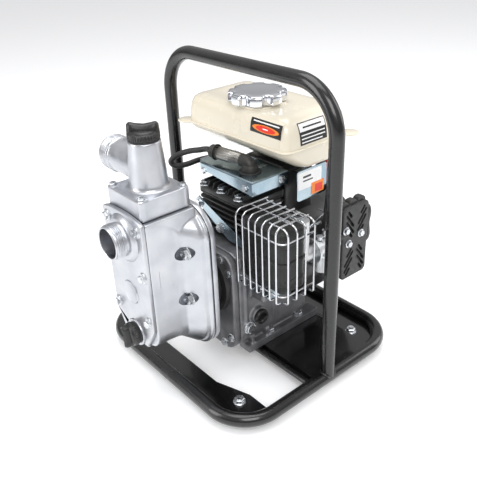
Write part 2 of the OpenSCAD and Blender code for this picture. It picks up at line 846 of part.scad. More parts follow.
module plug_cap() {
    color("#26241f") difference() {
        union() {
            translate([plug_x, plug_y, shroud_z0 + 4]) cylinder(d = 19, h = boot_z - shroud_z0 - 4 + 6);
            translate([plug_x, plug_y, boot_z - 8]) sphere(d = 24);
            translate([plug_x, plug_y, boot_z + 4]) rotate([0, 90, boot_dir]) cylinder(d = 17, h = boot_l);
        }
        translate([plug_x, plug_y, deck_z]) cylinder(d = 12, h = 33);
    }
}

// High-tension lead: out of the boot, round a loop at the front and back under the fan housing
lead_d = 7.5;
lead_points = [
    [6, 34, 316], [4, 46, 316], [-1, 60, 314], [-9, 74, 311], [-18, 86, 307], [-26, 94, 302],
    [-31, 97, 296], [-30, 94, 290], [-23, 90, 287], [-13, 87, 287], [-1, 85, 288], [13, 84, 290],
    [27, 83, 290], [39, 81, 288], [49, 78, 284]];

function unit(v) = v / norm(v);
function lead_dir(i) = unit(lead_points[min(i + 1, len(lead_points) - 1)] - lead_points[max(i - 1, 0)]);
function lead_ring(i, n, d) =
    let (t = lead_dir(i), a = unit(cross(t, [0.12, 0.2, 1])), b = cross(a, t))
    [for (k = [0 : n - 1]) lead_points[i] + d / 2 * (cos(360 * k / n) * a + sin(360 * k / n) * b)];

module ignition_lead() {
    n = 8;
    rings = len(lead_points);
    points = [for (i = [0 : rings - 1]) each lead_ring(i, n, lead_d)];
    sides = [for (i = [0 : rings - 2], k = [0 : n - 1])
        [i * n + k, i * n + (k + 1) % n, (i + 1) * n + (k + 1) % n, (i + 1) * n + k]];
    color("#1f1e1d") polyhedron(
        points,
        concat(sides, [[for (k = [n - 1 : -1 : 0]) k], [for (k = [0 : n - 1]) (rings - 1) * n + k]]));
}

module ignition_coil() {
    color("#2a2a2c") {
        translate([mid_x + 27, 66, 276]) cube([10.5, 24, 16]);
        translate([mid_x + 27, 70, 262]) cube([10.5, 16, 14 + eps]);
    }
}

web_r = stroke / 2 + 17;
journal_x0 = mid_x - 26;
journal_x1 = mid_x + 18;

module crankshaft() {
    color("#9a9ca0") at_axis() {
        rod_x(impeller_x0 + 1, case_x0 + cover_t + 8 - impeller_x0 - 1, shaft_d - 4);
        rod_x(case_x0 - 4, journal_x0 - case_x0 + 4 + eps, shaft_d);
        rod_x(journal_x1 - eps, fan_x1 - 24 - journal_x1, shaft_d);
        for (x = [journal_x0, journal_x1 - 10]) intersection() {
            rod_x(x, 10, 2 * web_r);
            translate([x - 1, -22, -web_r]) cube([12, 44, 2 * web_r]);
        }
        translate([0, 0, -stroke / 2]) rod_x(journal_x0, journal_x1 - journal_x0, 22);
    }
}

module crank_bearings() {
    color("#b0b2b6") for (x = [case_x0 + 6, case_x1 - bearing_w]) at_axis() difference() {
        rod_x(x, bearing_w, bearing_d);
        rod_x(x - 1, bearing_w + 2, shaft_d + 2 * shaft_fit);
    }
}

module piston() {
    pin_z = crank_z + pin_up;
    color("#b4b6ba") difference() {
        translate([cyl_x, axis_y, pin_z - 13]) cylinder(d = bore_d - 2 * 0.08, h = 30);
        translate([cyl_x, axis_y, pin_z - 14]) cylinder(d = bore_d - 8, h = 26);
        for (i = [0 : 2]) translate([cyl_x, axis_y, pin_z + 6 + 3.6 * i]) difference() {
            cylinder(d = bore_d + 1, h = 1.4);
            translate([0, 0, -1]) cylinder(d = bore_d - 4, h = 4);
        }
    }
    color("#8a8c90") translate([0, axis_y, pin_z]) rod_x(cyl_x - bore_d / 2 + 4.5, bore_d - 9, 12);
}

flywheel_x0 = mid_x + 52;
flywheel_r = 74;

module flywheel() {
    color("#8f9195") at_axis() difference() {
        union() {
            rod_x(flywheel_x0, 16, 2 * flywheel_r);
            rod_x(flywheel_x0, 34, 44);
            for (a = [0 : 24 : 359]) rotate([a, 0, 0]) translate([flywheel_x0 + 16 - eps, -1.5, 46])
                cube([20, 3, flywheel_r - 48]);
        }
        rod_x(flywheel_x0 - 1, 40, shaft_d);
    }
}

fan_wall = 2.5;

module fan_housing() {
    duct_w = 92;
    duct_top = shroud_z0 + shroud_h - 1;
    color("#2a2a2c") difference() {
        union() {
            at_axis() rod_x(case_x1 + 2, fan_x1 - case_x1 - 2, 2 * fan_r);
            translate([case_x1 + 2, axis_y - duct_w / 2, crank_z])
                cube([58, duct_w, duct_top - crank_z]);
        }
        at_axis() rod_x(case_x1 + 2 + fan_wall, fan_x1 - case_x1, 2 * (fan_r - fan_wall));
        translate([case_x1 + 2 + fan_wall, axis_y - duct_w / 2 + fan_wall, crank_z])
            cube([58 - 2 * fan_wall, duct_w - 2 * fan_wall, duct_top - crank_z - fan_wall]);
        at_axis() rod_x(case_x1, 10, 60);
        // air way to the cylinder, under the shroud
        translate([case_x1, axis_y - 40, case_top + 12]) cube([6, 80, duct_top - case_top - 18]);
    }
}

module recoil_cover() {
    r = recoil_r;
    depth = recoil_x1 - fan_x1;
    wall = 2.5;
    color("#232326") difference() {
        union() {
            at_axis() rod_x(fan_x1 + eps, 4, 2 * fan_r);
            at_axis() rod_x(fan_x1 + 3, depth - 3, 2 * r);
        }
        at_axis() rod_x(fan_x1 - 1, depth - wall + 1, 2 * (r - wall));
        // air slots in the end face
        for (a = [0 : 30 : 359]) at_axis() rotate([a, 0, 0])
            translate([recoil_x1 - 6, -3.5, 36]) cube([10, 7, 30]);
        // rope guide hole
        translate([rope_x, axis_y - r - 1, crank_z + reel_r]) rod_y(0, 30, 9);
    }
    color("#232326") at_axis() rod_x(recoil_x1 - 14, 14 - wall + eps, 14);
}

reel_x0 = rope_x - 5;

module starter_reel() {
    color("#d9d4c4") at_axis() difference() {
        union() {
            rod_x(reel_x0, 1.8, 2 * reel_r + 12);
            rod_x(reel_x0 + 1, 6, 2 * reel_r);
            rod_x(reel_x0 + 6.2, 1.3, 2 * reel_r + 12);
        }
        rod_x(recoil_x1 - 14 - fit, 20, 14 + 2 * shaft_fit);
        rod_x(reel_x0 + 1.8, 10, 40);
    }
    color("#8a8c90") at_axis() for (s = [-1, 1])
        translate([reel_x0 - 5, s * 24 - 4, -4]) cube([5 + eps, 8, 8]);
}

module starter_cup() {
    x0 = flywheel_x0 + 36 + 2;
    color("#7d8085") at_axis() difference() {
        rod_x(x0, reel_x0 - 8 - x0, 42);
        rod_x(x0 + 3, 80, 37);
        rod_x(x0 - 1, 10, shaft_d);
        for (a = [0 : 60 : 359]) rotate([a, 0, 0]) translate([reel_x0 - 24, -4, 15]) cube([12, 8, 12]);
    }
    color("#7d8085") at_axis() difference() {
        rod_x(flywheel_x0 + 34, 4 + eps, 38);
        rod_x(flywheel_x0 + 33, 10, shaft_d);
    }
}

grip_y = axis_y - recoil_r - 3;

module starter_grip() {
    grip_z = crank_z + reel_r;
    color("#161617") {
        translate([rope_x, grip_y - 12, grip_z - 24]) cylinder(d = 20, h = 48);
        translate([rope_x, grip_y - 12, grip_z]) rod_y(0, 11, 16);
        translate([rope_x, grip_y - 12, grip_z + 24]) sphere(d = 20);
        translate([rope_x, grip_y - 12, grip_z - 24]) sphere(d = 20);
    }
}

// ---- fuel ----

module tank_slab(inset, t) {
    linear_extrude(t) round_rect(tank_l - 2 * inset, tank_w - 2 * inset, tank_r - min(inset, 14));
}

module tank_body(g) {
    // g is the wall taken off all round
    hull() {
        translate([0, 0, 0]) tank_slab(g, 1);
        translate([2, 0, tank_up * 0.55]) tank_slab(3 + g, 1);
        translate([4, 0, tank_up - 1 - g]) tank_slab(13 + g, 1);
    }
    hull() {
        tank_slab(g, 1);
        translate([12, 0, -tank_low + g]) tank_slab(27 + g, 1);
    }
}

module fuel_tank() {
    centre = [tank_x0 + tank_l / 2, tank_y0 + tank_w / 2];
    duct_top = shroud_z0 + shroud_h - 1;
    tank_bottom = tank_z - tank_low;
    color("#e8dfcb") difference() {
        union() {
            translate([centre.x, centre.y, tank_z]) tank_body(0);
            translate([centre.x, centre.y, tank_z - 1.5]) linear_extrude(3)
                round_rect(tank_l + 6, tank_w + 6, tank_r);
            // two corner ears of the seam flange
            for (s = [-1, 1])
                translate([centre.x + s * (tank_l / 2 - 6), centre.y - s * (tank_w / 2 - 6), tank_z - 1.5])
                    rotate([0, 0, 45]) linear_extrude(3) round_rect(26, 44, 12);
            translate([cap_x, cap_y, tank_z + tank_up - 4]) cylinder(d = 56, h = 5);
            translate([cap_x, cap_y, tank_z + tank_up]) cylinder(d = 44, h = 8);
        }
        translate([centre.x, centre.y, tank_z]) tank_body(3);
        translate([cap_x, cap_y, tank_z + tank_up - 10]) cylinder(d = 38, h = 30);
    }
    // legs that stand on the duct of the fan housing
    color("#e8dfcb") for (y = [-34, 26])
        translate([centre.x + 2, y, duct_top]) cube([26, 14, tank_bottom + 1 - duct_top]);
}

module fuel_cap() {
    color("#dfe1e4") translate([cap_x, cap_y, cap_z]) difference() {
        cylinder(d = cap_d, h = cap_h);
        for (a = [0 : 45 : 359]) rotate([0, 0, a + 22.5])
            translate([cap_d / 2 + 5, 0, -1]) cylinder(d = 22, h = cap_h + 2);
        translate([0, 0, -1]) cylinder(d = 50, h = cap_h - 4);
    }
    color("#dfe1e4") translate([cap_x, cap_y, cap_z + 2]) difference() {
        cylinder(d = 37, h = cap_h - 4);
        translate([0, 0, -1]) cylinder(d = 31, h = cap_h - 4);
    }
}

tap_in = 26;        // from the end of the tank to the tap
tap_x = tank_x0 + tank_l - tap_in;
tap_y = -60;
tap_z = tank_z - tank_low - 14;

module fuel_tap() {
    color("#b9bbbf") difference() {
        union() {
            translate([tap_x, tap_y, tap_z]) cylinder(d = 18, h = 14);
            translate([tap_x, tap_y, tap_z + 4]) rod_y(-16, 16, 16);
            translate([tap_x, tap_y, tap_z - 12]) cylinder(d = 8, h = 13);
        }
        translate([tap_x, tap_y, tap_z - 13]) cylinder(d = 5, h = 40);
    }
}

module tap_lever() {
    color("#c23a22") translate([tap_x, tap_y, tap_z + 4]) {
        rod_y(-16 - fit - 4, 4, 14);
        translate([-4, -16 - fit - 4, -26]) cube([8, 4, 26]);
    }
}

module carburettor() {
    color("#a9abaf") difference() {
        union() {
            translate([0, carb_y, carb_z]) rod_x(carb_x0, carb_x1 - carb_x0, 26);
            translate([carb_x0 + 24, carb_y, carb_z - 38]) cylinder(d = 28, h = 26);
            translate([carb_x0 + 24, carb_y, carb_z - 14]) cylinder(d = 22, h = 26);
            translate([0, carb_y, carb_z]) rod_x(carb_x0, 4, 38);
            translate([0, carb_y, carb_z]) rod_x(carb_x1 - 4, 4, 28);
            // inlet manifold from the cylinder
            translate([intake_x, axis_y - 52 - fit, port_z]) rotate([90, 0, 0])
                cylinder(d = 22, h = 44);
            translate([intake_x, carb_y, carb_z]) cylinder(d = 22, h = port_z - carb_z + 11);
            translate([0, carb_y, carb_z]) rod_x(intake_x, carb_x0 - intake_x + eps, 22);
        }
        translate([0, carb_y, carb_z]) rod_x(intake_x - 4, carb_x1 - intake_x + 5, 15);
        translate([intake_x, axis_y - 50, port_z]) rotate([90, 0, 0]) cylinder(d = 15, h = 52);
        translate([intake_x, carb_y, carb_z]) cylinder(d = 15, h = port_z - carb_z);
    }
}

module lever(axis_x, top_z, reach) {
    translate([axis_x, carb_y, top_z]) {
        cylinder(d = 10, h = 5);
        translate([0, -3, 1]) cube([reach, 6, 3]);
        translate([reach, 0, 1]) cylinder(d = 8, h = 10);
    }
}

module throttle_lever() {
    color("#c9ccd0") lever(carb_x0 + 16, carb_z + 13 + fit, 12);
}

module choke_lever() {
    color("#2a2a2c") translate([carb_x1 - 10, carb_y, carb_z + 13 + fit]) {
        cylinder(d = 9, h = 5);
        rotate([0, 0, -80]) translate([0, -3, 1]) cube([18, 6, 3]);
    }
}

module air_cleaner() {
    y1 = cleaner_y0 + cleaner_d;
    w = cleaner_x1 - cleaner_x0;
    h = cleaner_z1 - cleaner_z0;
    color("#2a2a2d") difference() {
        union() {
            along_y(cleaner_y0 + 6, cleaner_d - 6)
                translate([cleaner_x0 + w / 2, cleaner_z0 + h / 2]) round_rect(w, h, 8);
            translate([0, carb_y, carb_z]) rod_x(carb_x1 + fit, cleaner_x0 - carb_x1 - fit + 4, 13);
        }
        along_y(cleaner_y0 + 5, cleaner_d - 8)
            translate([cleaner_x0 + w / 2, cleaner_z0 + h / 2]) round_rect(w - 5, h - 5, 6);
        translate([0, carb_y, carb_z]) rod_x(carb_x1 - 1, cleaner_x0 - carb_x1 + 10, 9);
        // the neck stays behind the cover
        translate([cleaner_x0 - fit, cleaner_y0 - 10, carb_z - 10]) cube([20, 16, 20]);
    }
}

cleaner_bolt_xz = [[mid_x + 137, 185], [mid_x + 110, 176], [mid_x + 103, 200]];

// Slanted slots in one quarter of the cover's face
module slot_field(w, h) {
    pitch = 13;
    intersection() {
        translate([4, 7]) square([w - 10, h - 15]);
        for (i = [0 : 4]) translate([w / 2, 6 + i * pitch]) rotate(45) square([60, 4], center = true);
    }
}

module cleaner_cover() {
    w = cleaner_x1 - cleaner_x0;
    h = cleaner_z1 - cleaner_z0;
    color("#2a2a2d") along_y(cleaner_y0, 6 - eps)
        translate([cleaner_x0 + w / 2, cleaner_z0 + h / 2]) difference() {
            round_rect(w, h, 8);
            for (mx = [0, 1], mz = [0, 1]) mirror([mx, 0]) mirror([0, mz]) slot_field(w / 2, h / 2);
        }
    color("#c9ccd0") for (p = cleaner_bolt_xz)
        translate([p[0], cleaner_y0, p[1]]) rotate([90, 0, 0]) {
            cylinder(d = 12, h = 1.5);
            cylinder(d = 9, h = 5, $fn = 6);
        }
}

// ---- muffler ----

module muffler() {
    g = muffler_gap;
    x0 = guard_x0 + g;
    y0 = guard_y0 + g;
    z0 = guard_z0 + g;
    lx = guard_x1 - guard_x0 - 2 * g;
    ly = axis_y - case_r - 1 - y0;
    lz = guard_z1 - guard_z0 - 2 * g - 4;
    color("#1a1a1b") difference() {
        union() {
            translate([x0 + lx / 2, y0 + ly / 2, z0]) linear_extrude(lz) round_rect(lx, ly, 8);
            // neck to the exhaust port
            translate([exhaust_x, y0 + ly - 2, port_z]) 
                rod_y(0, axis_y - 52 - fit - y0 - ly + 2, exhaust_d + 6);
        }
        translate([x0 + lx / 2, y0 + ly / 2, z0 + 2]) linear_extrude(lz - 4)
            round_rect(lx - 4, ly - 4, 6);
        translate([exhaust_x, y0 + ly - 6, port_z]) rod_y(0, 60, exhaust_d);
    }
    // zinc stay: a foot on the crankcase ledge and an upright to the box
    upright_y = stay_y - 22;
    upright_l = guard_x1 - g - stay_x[0] + 9;
    color("#9aa7b2") difference() {
        union() {
            translate([stay_x[0] - 9, upright_y, stay_z])
                cube([stay_x[1] - stay_x[0] + 18, axis_y - case_r - upright_y - fit, stay_t]);
            translate([stay_x[0] - 9, upright_y, stay_z])
                cube([upright_l, stay_t, z0 - stay_z + 1]);
        }
        for (x = stay_x) translate([x, stay_y, stay_z - 1]) cylinder(d = 7, h = stay_t + 2);
    }
}

// Bent wire: up one face, round a corner and along the top
module hoop_wire(drop, run, r) {
    rod_len = drop - r;
    cylinder(d = wire_d, h = rod_len);
    translate([0, r, rod_len]) rotate([90, 0, -90])
        rotate_extrude(angle = 90) translate([r, 0]) circle(d = wire_d);
    translate([0, r, drop]) rod_y(0, run - r, wire_d);
}

module muffler_guard() {
    r = 9;
    drop = guard_z1 - guard_z0;
    run_x = guard_x1 - guard_x0;
    run_y = guard_y1 - guard_y0;
    w = wire_d;
    front_pitch = (run_y - r - w / 2) / 6;
    side_pitch = (run_x - 2 * r) / 3;
    color("#d5d8db") {
        // seven wires on the front face and four on the side face
        for (i = [0 : 6])
            translate([guard_x0, guard_y0 + r + i * front_pitch, guard_z0]) rotate([0, 0, -90])
                hoop_wire(drop, run_x - 8, r);
        for (i = [0 : 3])
            translate([guard_x0 + r + i * side_pitch, guard_y0, guard_z0])
                hoop_wire(drop - w + 0.6, 36, r);
        // level wires that tie them together
        for (z = [guard_z0 + 10, guard_z1 - 20]) {
            translate([guard_x0 + w - 0.8, 0, z]) rod_y(guard_y0 + r, run_y - r, w);
            translate([0, guard_y0 + w - 0.8, z]) rod_x(guard_x0 + r, run_x - r, w);
            translate([guard_x0 + r, guard_y0 + r, z]) rotate([0, 0, 180])
                rotate_extrude(angle = 90) translate([r - w + 0.8, 0]) circle(d = w);
        }
        translate([guard_x0 + r + 20, 0, guard_z1 - w + 0.8]) rod_y(guard_y0 + r, run_y - r, w);
        // lugs that hold the guard to the muffler
        for (i = [1, 5], z = [guard_z0 + 10, guard_z1 - 20])
            translate([0, guard_y0 + r + i * front_pitch, z]) rod_x(guard_x0, muffler_gap + eps, w + 1);
    }
}

module oil_cap() {
    color("#1b1b1d") translate([oil_x, oil_y, oil_z]) {
        rod_y(-1, 20, oil_bore - 2 * fit);
        rod_y(-6 - fit, 6, 24);
        translate([-11, -14, -3]) cube([22, 9, 6]);
        rod_y(10, 46, 4);
    }
}

module drain_bolt() {
    color("#c9ccd0") translate([drain_bolt_x, axis_y - case_r, drain_bolt_z]) rotate([90, 0, 0])
        bolt(8.4, 14, 6);
}

module bracket_bolts() {
    color("#c9ccd0") {
        for (p = strap_bolt_yz) translate([strap_x, p[0], p[1]]) rotate([0, -90, 0]) bolt(6, 1.9, 5);
        at_bracket_bolts() rotate([0, -90, 0]) bolt(6, 16, 4.5);
        for (x = stay_x) translate([x, stay_y, stay_z + stay_t]) bolt(6, 12, 5);
    }
}

base_loop();
roll_hoop();
front_foot_plate();
rear_foot_plate();
engine_bed();
cross_rail();
rubber_feet();
foot_bolts();
engine_bolts();
front_cover();
cover_gasket();
pump_casing();
volute();
back_plate();
pump_bracket();
outlet_tower();
inlet_flap();
impeller();
seal_ring();
seal_seat();
cover_bolts();
tower_screws();
casing_bolts();
priming_plug();
priming_seal();
drain_plug();
drain_seal();
crankcase();
crankcase_cover();
cylinder_block();  // cylinder
cylinder_head();
shroud();
strap_bracket();
spark_plug();
plug_cap();
ignition_lead();
ignition_coil();
crankshaft();
crank_bearings();
piston();
flywheel();
fan_housing();
recoil_cover();
starter_reel();
starter_cup();
starter_grip();
fuel_tank();
fuel_cap();
fuel_tap();
tap_lever();
carburettor();
throttle_lever();
choke_lever();
air_cleaner();
cleaner_cover();
muffler();
muffler_guard();
oil_cap();
drain_bolt();
bracket_bolts();
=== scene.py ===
"""Looks for the portable fire pump: materials, fine meshes, floor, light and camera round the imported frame."""

import json
import math

import bmesh
import bpy
from mathutils import Matrix, Vector


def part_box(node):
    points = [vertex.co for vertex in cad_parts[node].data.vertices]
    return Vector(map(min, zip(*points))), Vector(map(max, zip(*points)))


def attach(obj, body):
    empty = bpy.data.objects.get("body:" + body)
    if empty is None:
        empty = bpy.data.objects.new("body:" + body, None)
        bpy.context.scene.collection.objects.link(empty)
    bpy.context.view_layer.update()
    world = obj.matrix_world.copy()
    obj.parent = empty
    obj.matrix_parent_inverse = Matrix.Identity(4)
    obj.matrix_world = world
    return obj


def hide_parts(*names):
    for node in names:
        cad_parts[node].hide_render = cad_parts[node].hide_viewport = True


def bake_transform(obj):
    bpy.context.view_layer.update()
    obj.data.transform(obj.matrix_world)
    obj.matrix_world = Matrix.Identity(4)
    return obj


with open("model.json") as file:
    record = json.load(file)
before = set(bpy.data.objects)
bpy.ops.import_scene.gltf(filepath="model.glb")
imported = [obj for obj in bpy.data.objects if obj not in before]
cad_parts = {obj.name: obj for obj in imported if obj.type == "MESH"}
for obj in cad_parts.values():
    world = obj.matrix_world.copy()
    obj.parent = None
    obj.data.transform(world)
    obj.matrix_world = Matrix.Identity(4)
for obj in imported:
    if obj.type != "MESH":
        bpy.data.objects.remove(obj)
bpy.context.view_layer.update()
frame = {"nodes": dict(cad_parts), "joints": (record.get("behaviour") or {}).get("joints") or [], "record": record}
NODES = frame["nodes"]
MM = 0.001


# ---------------------------------------------------------------- camera, light and floor

# The view: the camera's place, its heading and its small roll, in millimetres and degrees
CAMERA_AT = (-509.7, -638.3, 636.6)
CAMERA_AZ = -39.339
CAMERA_EL = 28.627
CAMERA_ROLL = -2.35
CAMERA_LENS = 46.98


def camera_axes(azimuth, elevation, roll):
    """Right, up and back unit vectors of a camera at that heading."""
    az, el, ro = (math.radians(v) for v in (azimuth, elevation, roll))
    back = Vector((math.sin(az) * math.cos(el), -math.cos(az) * math.cos(el), math.sin(el)))
    right = (-back).cross(Vector((0, 0, 1))).normalized()
    up = right.cross(-back)
    return (
        math.cos(ro) * right + math.sin(ro) * up,
        -math.sin(ro) * right + math.cos(ro) * up,
        back,
    )


def add_camera():
    data = bpy.data.cameras.new("camera")
    data.lens = CAMERA_LENS
    data.sensor_width = 36
    data.clip_end = 50
    camera = bpy.data.objects.new("camera", data)
    right, up, back = camera_axes(CAMERA_AZ, CAMERA_EL, CAMERA_ROLL)
    turn = Matrix((right, up, back)).transposed().to_4x4()
    camera.matrix_world = Matrix.Translation(Vector(CAMERA_AT) * MM) @ turn
    bpy.context.scene.collection.objects.link(camera)
    bpy.context.scene.camera = camera


def add_area(name, at, aim, size, power, tint=(1, 1, 1)):
    data = bpy.data.lights.new(name, "AREA")
    data.shape = "RECTANGLE"
    data.size, data.size_y = size
    data.energy = power
    data.color = tint
    light = bpy.data.objects.new(name, data)
    light.location = at
    light.rotation_euler = (Vector(at) - Vector(aim)).to_track_quat("Z", "Y").to_euler()
    bpy.context.scene.collection.objects.link(light)


def add_studio():
    middle = (0, 0, 0.2)
    add_area("key", (-0.9, -1.6, 1.9), middle, (1.3, 1.3), 26)
    add_area("side", (1.9, -0.9, 1.1), middle, (1.0, 1.6), 12)
    add_area("left", (-1.9, 0.7, 1.0), middle, (0.9, 1.6), 19)
    add_area("top", (0.1, 0.2, 2.4), middle, (1.8, 1.8), 30)
    bpy.context.scene.view_settings.view_transform = "Standard"
    world = bpy.data.worlds.new("studio")
    bpy.context.scene.world = world
    world.use_nodes = True
    nodes, links = world.node_tree.nodes, world.node_tree.links
    background = nodes["Background"]
    ramp = nodes.new("ShaderNodeValToRGB")
    split = nodes.new("ShaderNodeSeparateXYZ")
    coords = nodes.new("ShaderNodeTexCoord")
    ramp.color_ramp.elements[0].position = 0.42
    ramp.color_ramp.elements[0].color = (0.1, 0.105, 0.115, 1)
    ramp.color_ramp.elements[1].position = 0.75
    ramp.color_ramp.elements[1].color = (0.85, 0.85, 0.86, 1)
    remap = nodes.new("ShaderNodeMapRange")
    remap.inputs["From Min"].default_value = -1
    links.new(coords.outputs["Generated"], split.inputs[0])
    links.new(split.outputs["Z"], remap.inputs["Value"])
    links.new(remap.outputs["Result"], ramp.inputs["Fac"])
    links.new(ramp.outputs["Color"], background.inputs["Color"])
    background.inputs["Strength"].default_value = 0.8


def add_floor():
    bpy.ops.mesh.primitive_plane_add(size=16, location=(0, 0, 0))
    floor = bpy.context.object
    floor.name = "floor"
    mat = bpy.data.materials.new("floor")
    mat.use_nodes = True
    shader = mat.node_tree.nodes["Principled BSDF"]
    shader.inputs["Base Color"].default_value = (0.93, 0.935, 0.94, 1)
    shader.inputs["Roughness"].default_value = 0.55
    shader.inputs["Emission Color"].default_value = (1, 1, 1, 1)
    shader.inputs["Emission Strength"].default_value = 0.14
    floor.data.materials.append(mat)


add_camera()
add_studio()
add_floor()


# ---------------------------------------------------------------- materials


class Look:
    """A node material: one Principled shader with noise for its colour, roughness and bump."""

    def __init__(self, name, colour, metallic=0.0, rough=0.4):
        self.mat = bpy.data.materials.new(name)
        self.mat.use_nodes = True
        self.tree = self.mat.node_tree
        self.shader = self.tree.nodes["Principled BSDF"]
        self.coords = self.tree.nodes.new("ShaderNodeTexCoord").outputs["Object"]
        self.set("Metallic", metallic)
        self.set("Roughness", rough)
        self.set("Base Color", (*colour, 1))
        self.colour = colour
        self.bump_from = None

    def set(self, socket, value):
        self.shader.inputs[socket].default_value = value
        return self

    def link(self, a, b):
        self.tree.links.new(a, b)

    def noise(self, scale, detail=4, stretch=None):
        node = self.tree.nodes.new("ShaderNodeTexNoise")
        node.inputs["Scale"].default_value = scale
        node.inputs["Detail"].default_value = detail
        source = self.coords
        if stretch:
            mapping = self.tree.nodes.new("ShaderNodeMapping")
            mapping.inputs["Scale"].default_value = stretch
            self.link(source, mapping.inputs["Vector"])
            source = mapping.outputs["Vector"]
        self.link(source, node.inputs["Vector"])
        return node.outputs["Fac"]

    def remap(self, value, low, high, lo_in=0.3, hi_in=0.7):
        node = self.tree.nodes.new("ShaderNodeMapRange")
        for name, v in (("From Min", lo_in), ("From Max", hi_in), ("To Min", low), ("To Max", high)):
            node.inputs[name].default_value = v
        self.link(value, node.inputs["Value"])
        return node.outputs["Result"]

    def mottle(self, scale, dark, light):
        """Colour drifts between two tints."""
        mix = self.tree.nodes.new("ShaderNodeMix")
        mix.data_type = "RGBA"
        mix.inputs["A"].default_value = (*dark, 1)
        mix.inputs["B"].default_value = (*light, 1)
        self.link(self.remap(self.noise(scale), 0, 1), mix.inputs["Factor"])
        self.link(mix.outputs["Result"], self.shader.inputs["Base Color"])
        return self

    def worn(self, scale, smooth, rough, stretch=None):
        """Roughness drifts between two values."""
        self.link(
            self.remap(self.noise(scale, stretch=stretch), smooth, rough),
            self.shader.inputs["Roughness"],
        )
        return self

    def bump(self, scale, depth_mm, detail=4, stretch=None):
        """Fine relief of that depth; several calls add up."""
        node = self.tree.nodes.new("ShaderNodeBump")
        node.inputs["Strength"].default_value = 1
        node.inputs["Distance"].default_value = depth_mm * MM
        self.link(self.noise(scale, detail, stretch), node.inputs["Height"])
        if self.bump_from:
            self.link(self.bump_from, node.inputs["Normal"])
        self.bump_from = node.outputs["Normal"]
        self.link(self.bump_from, self.shader.inputs["Normal"])
        return self

    def coat(self, weight, rough):
        self.set("Coat Weight", weight)
        self.set("Coat Roughness", rough)
        return self


def grey(value, blue=0.0):
    return (value, value, value + blue)


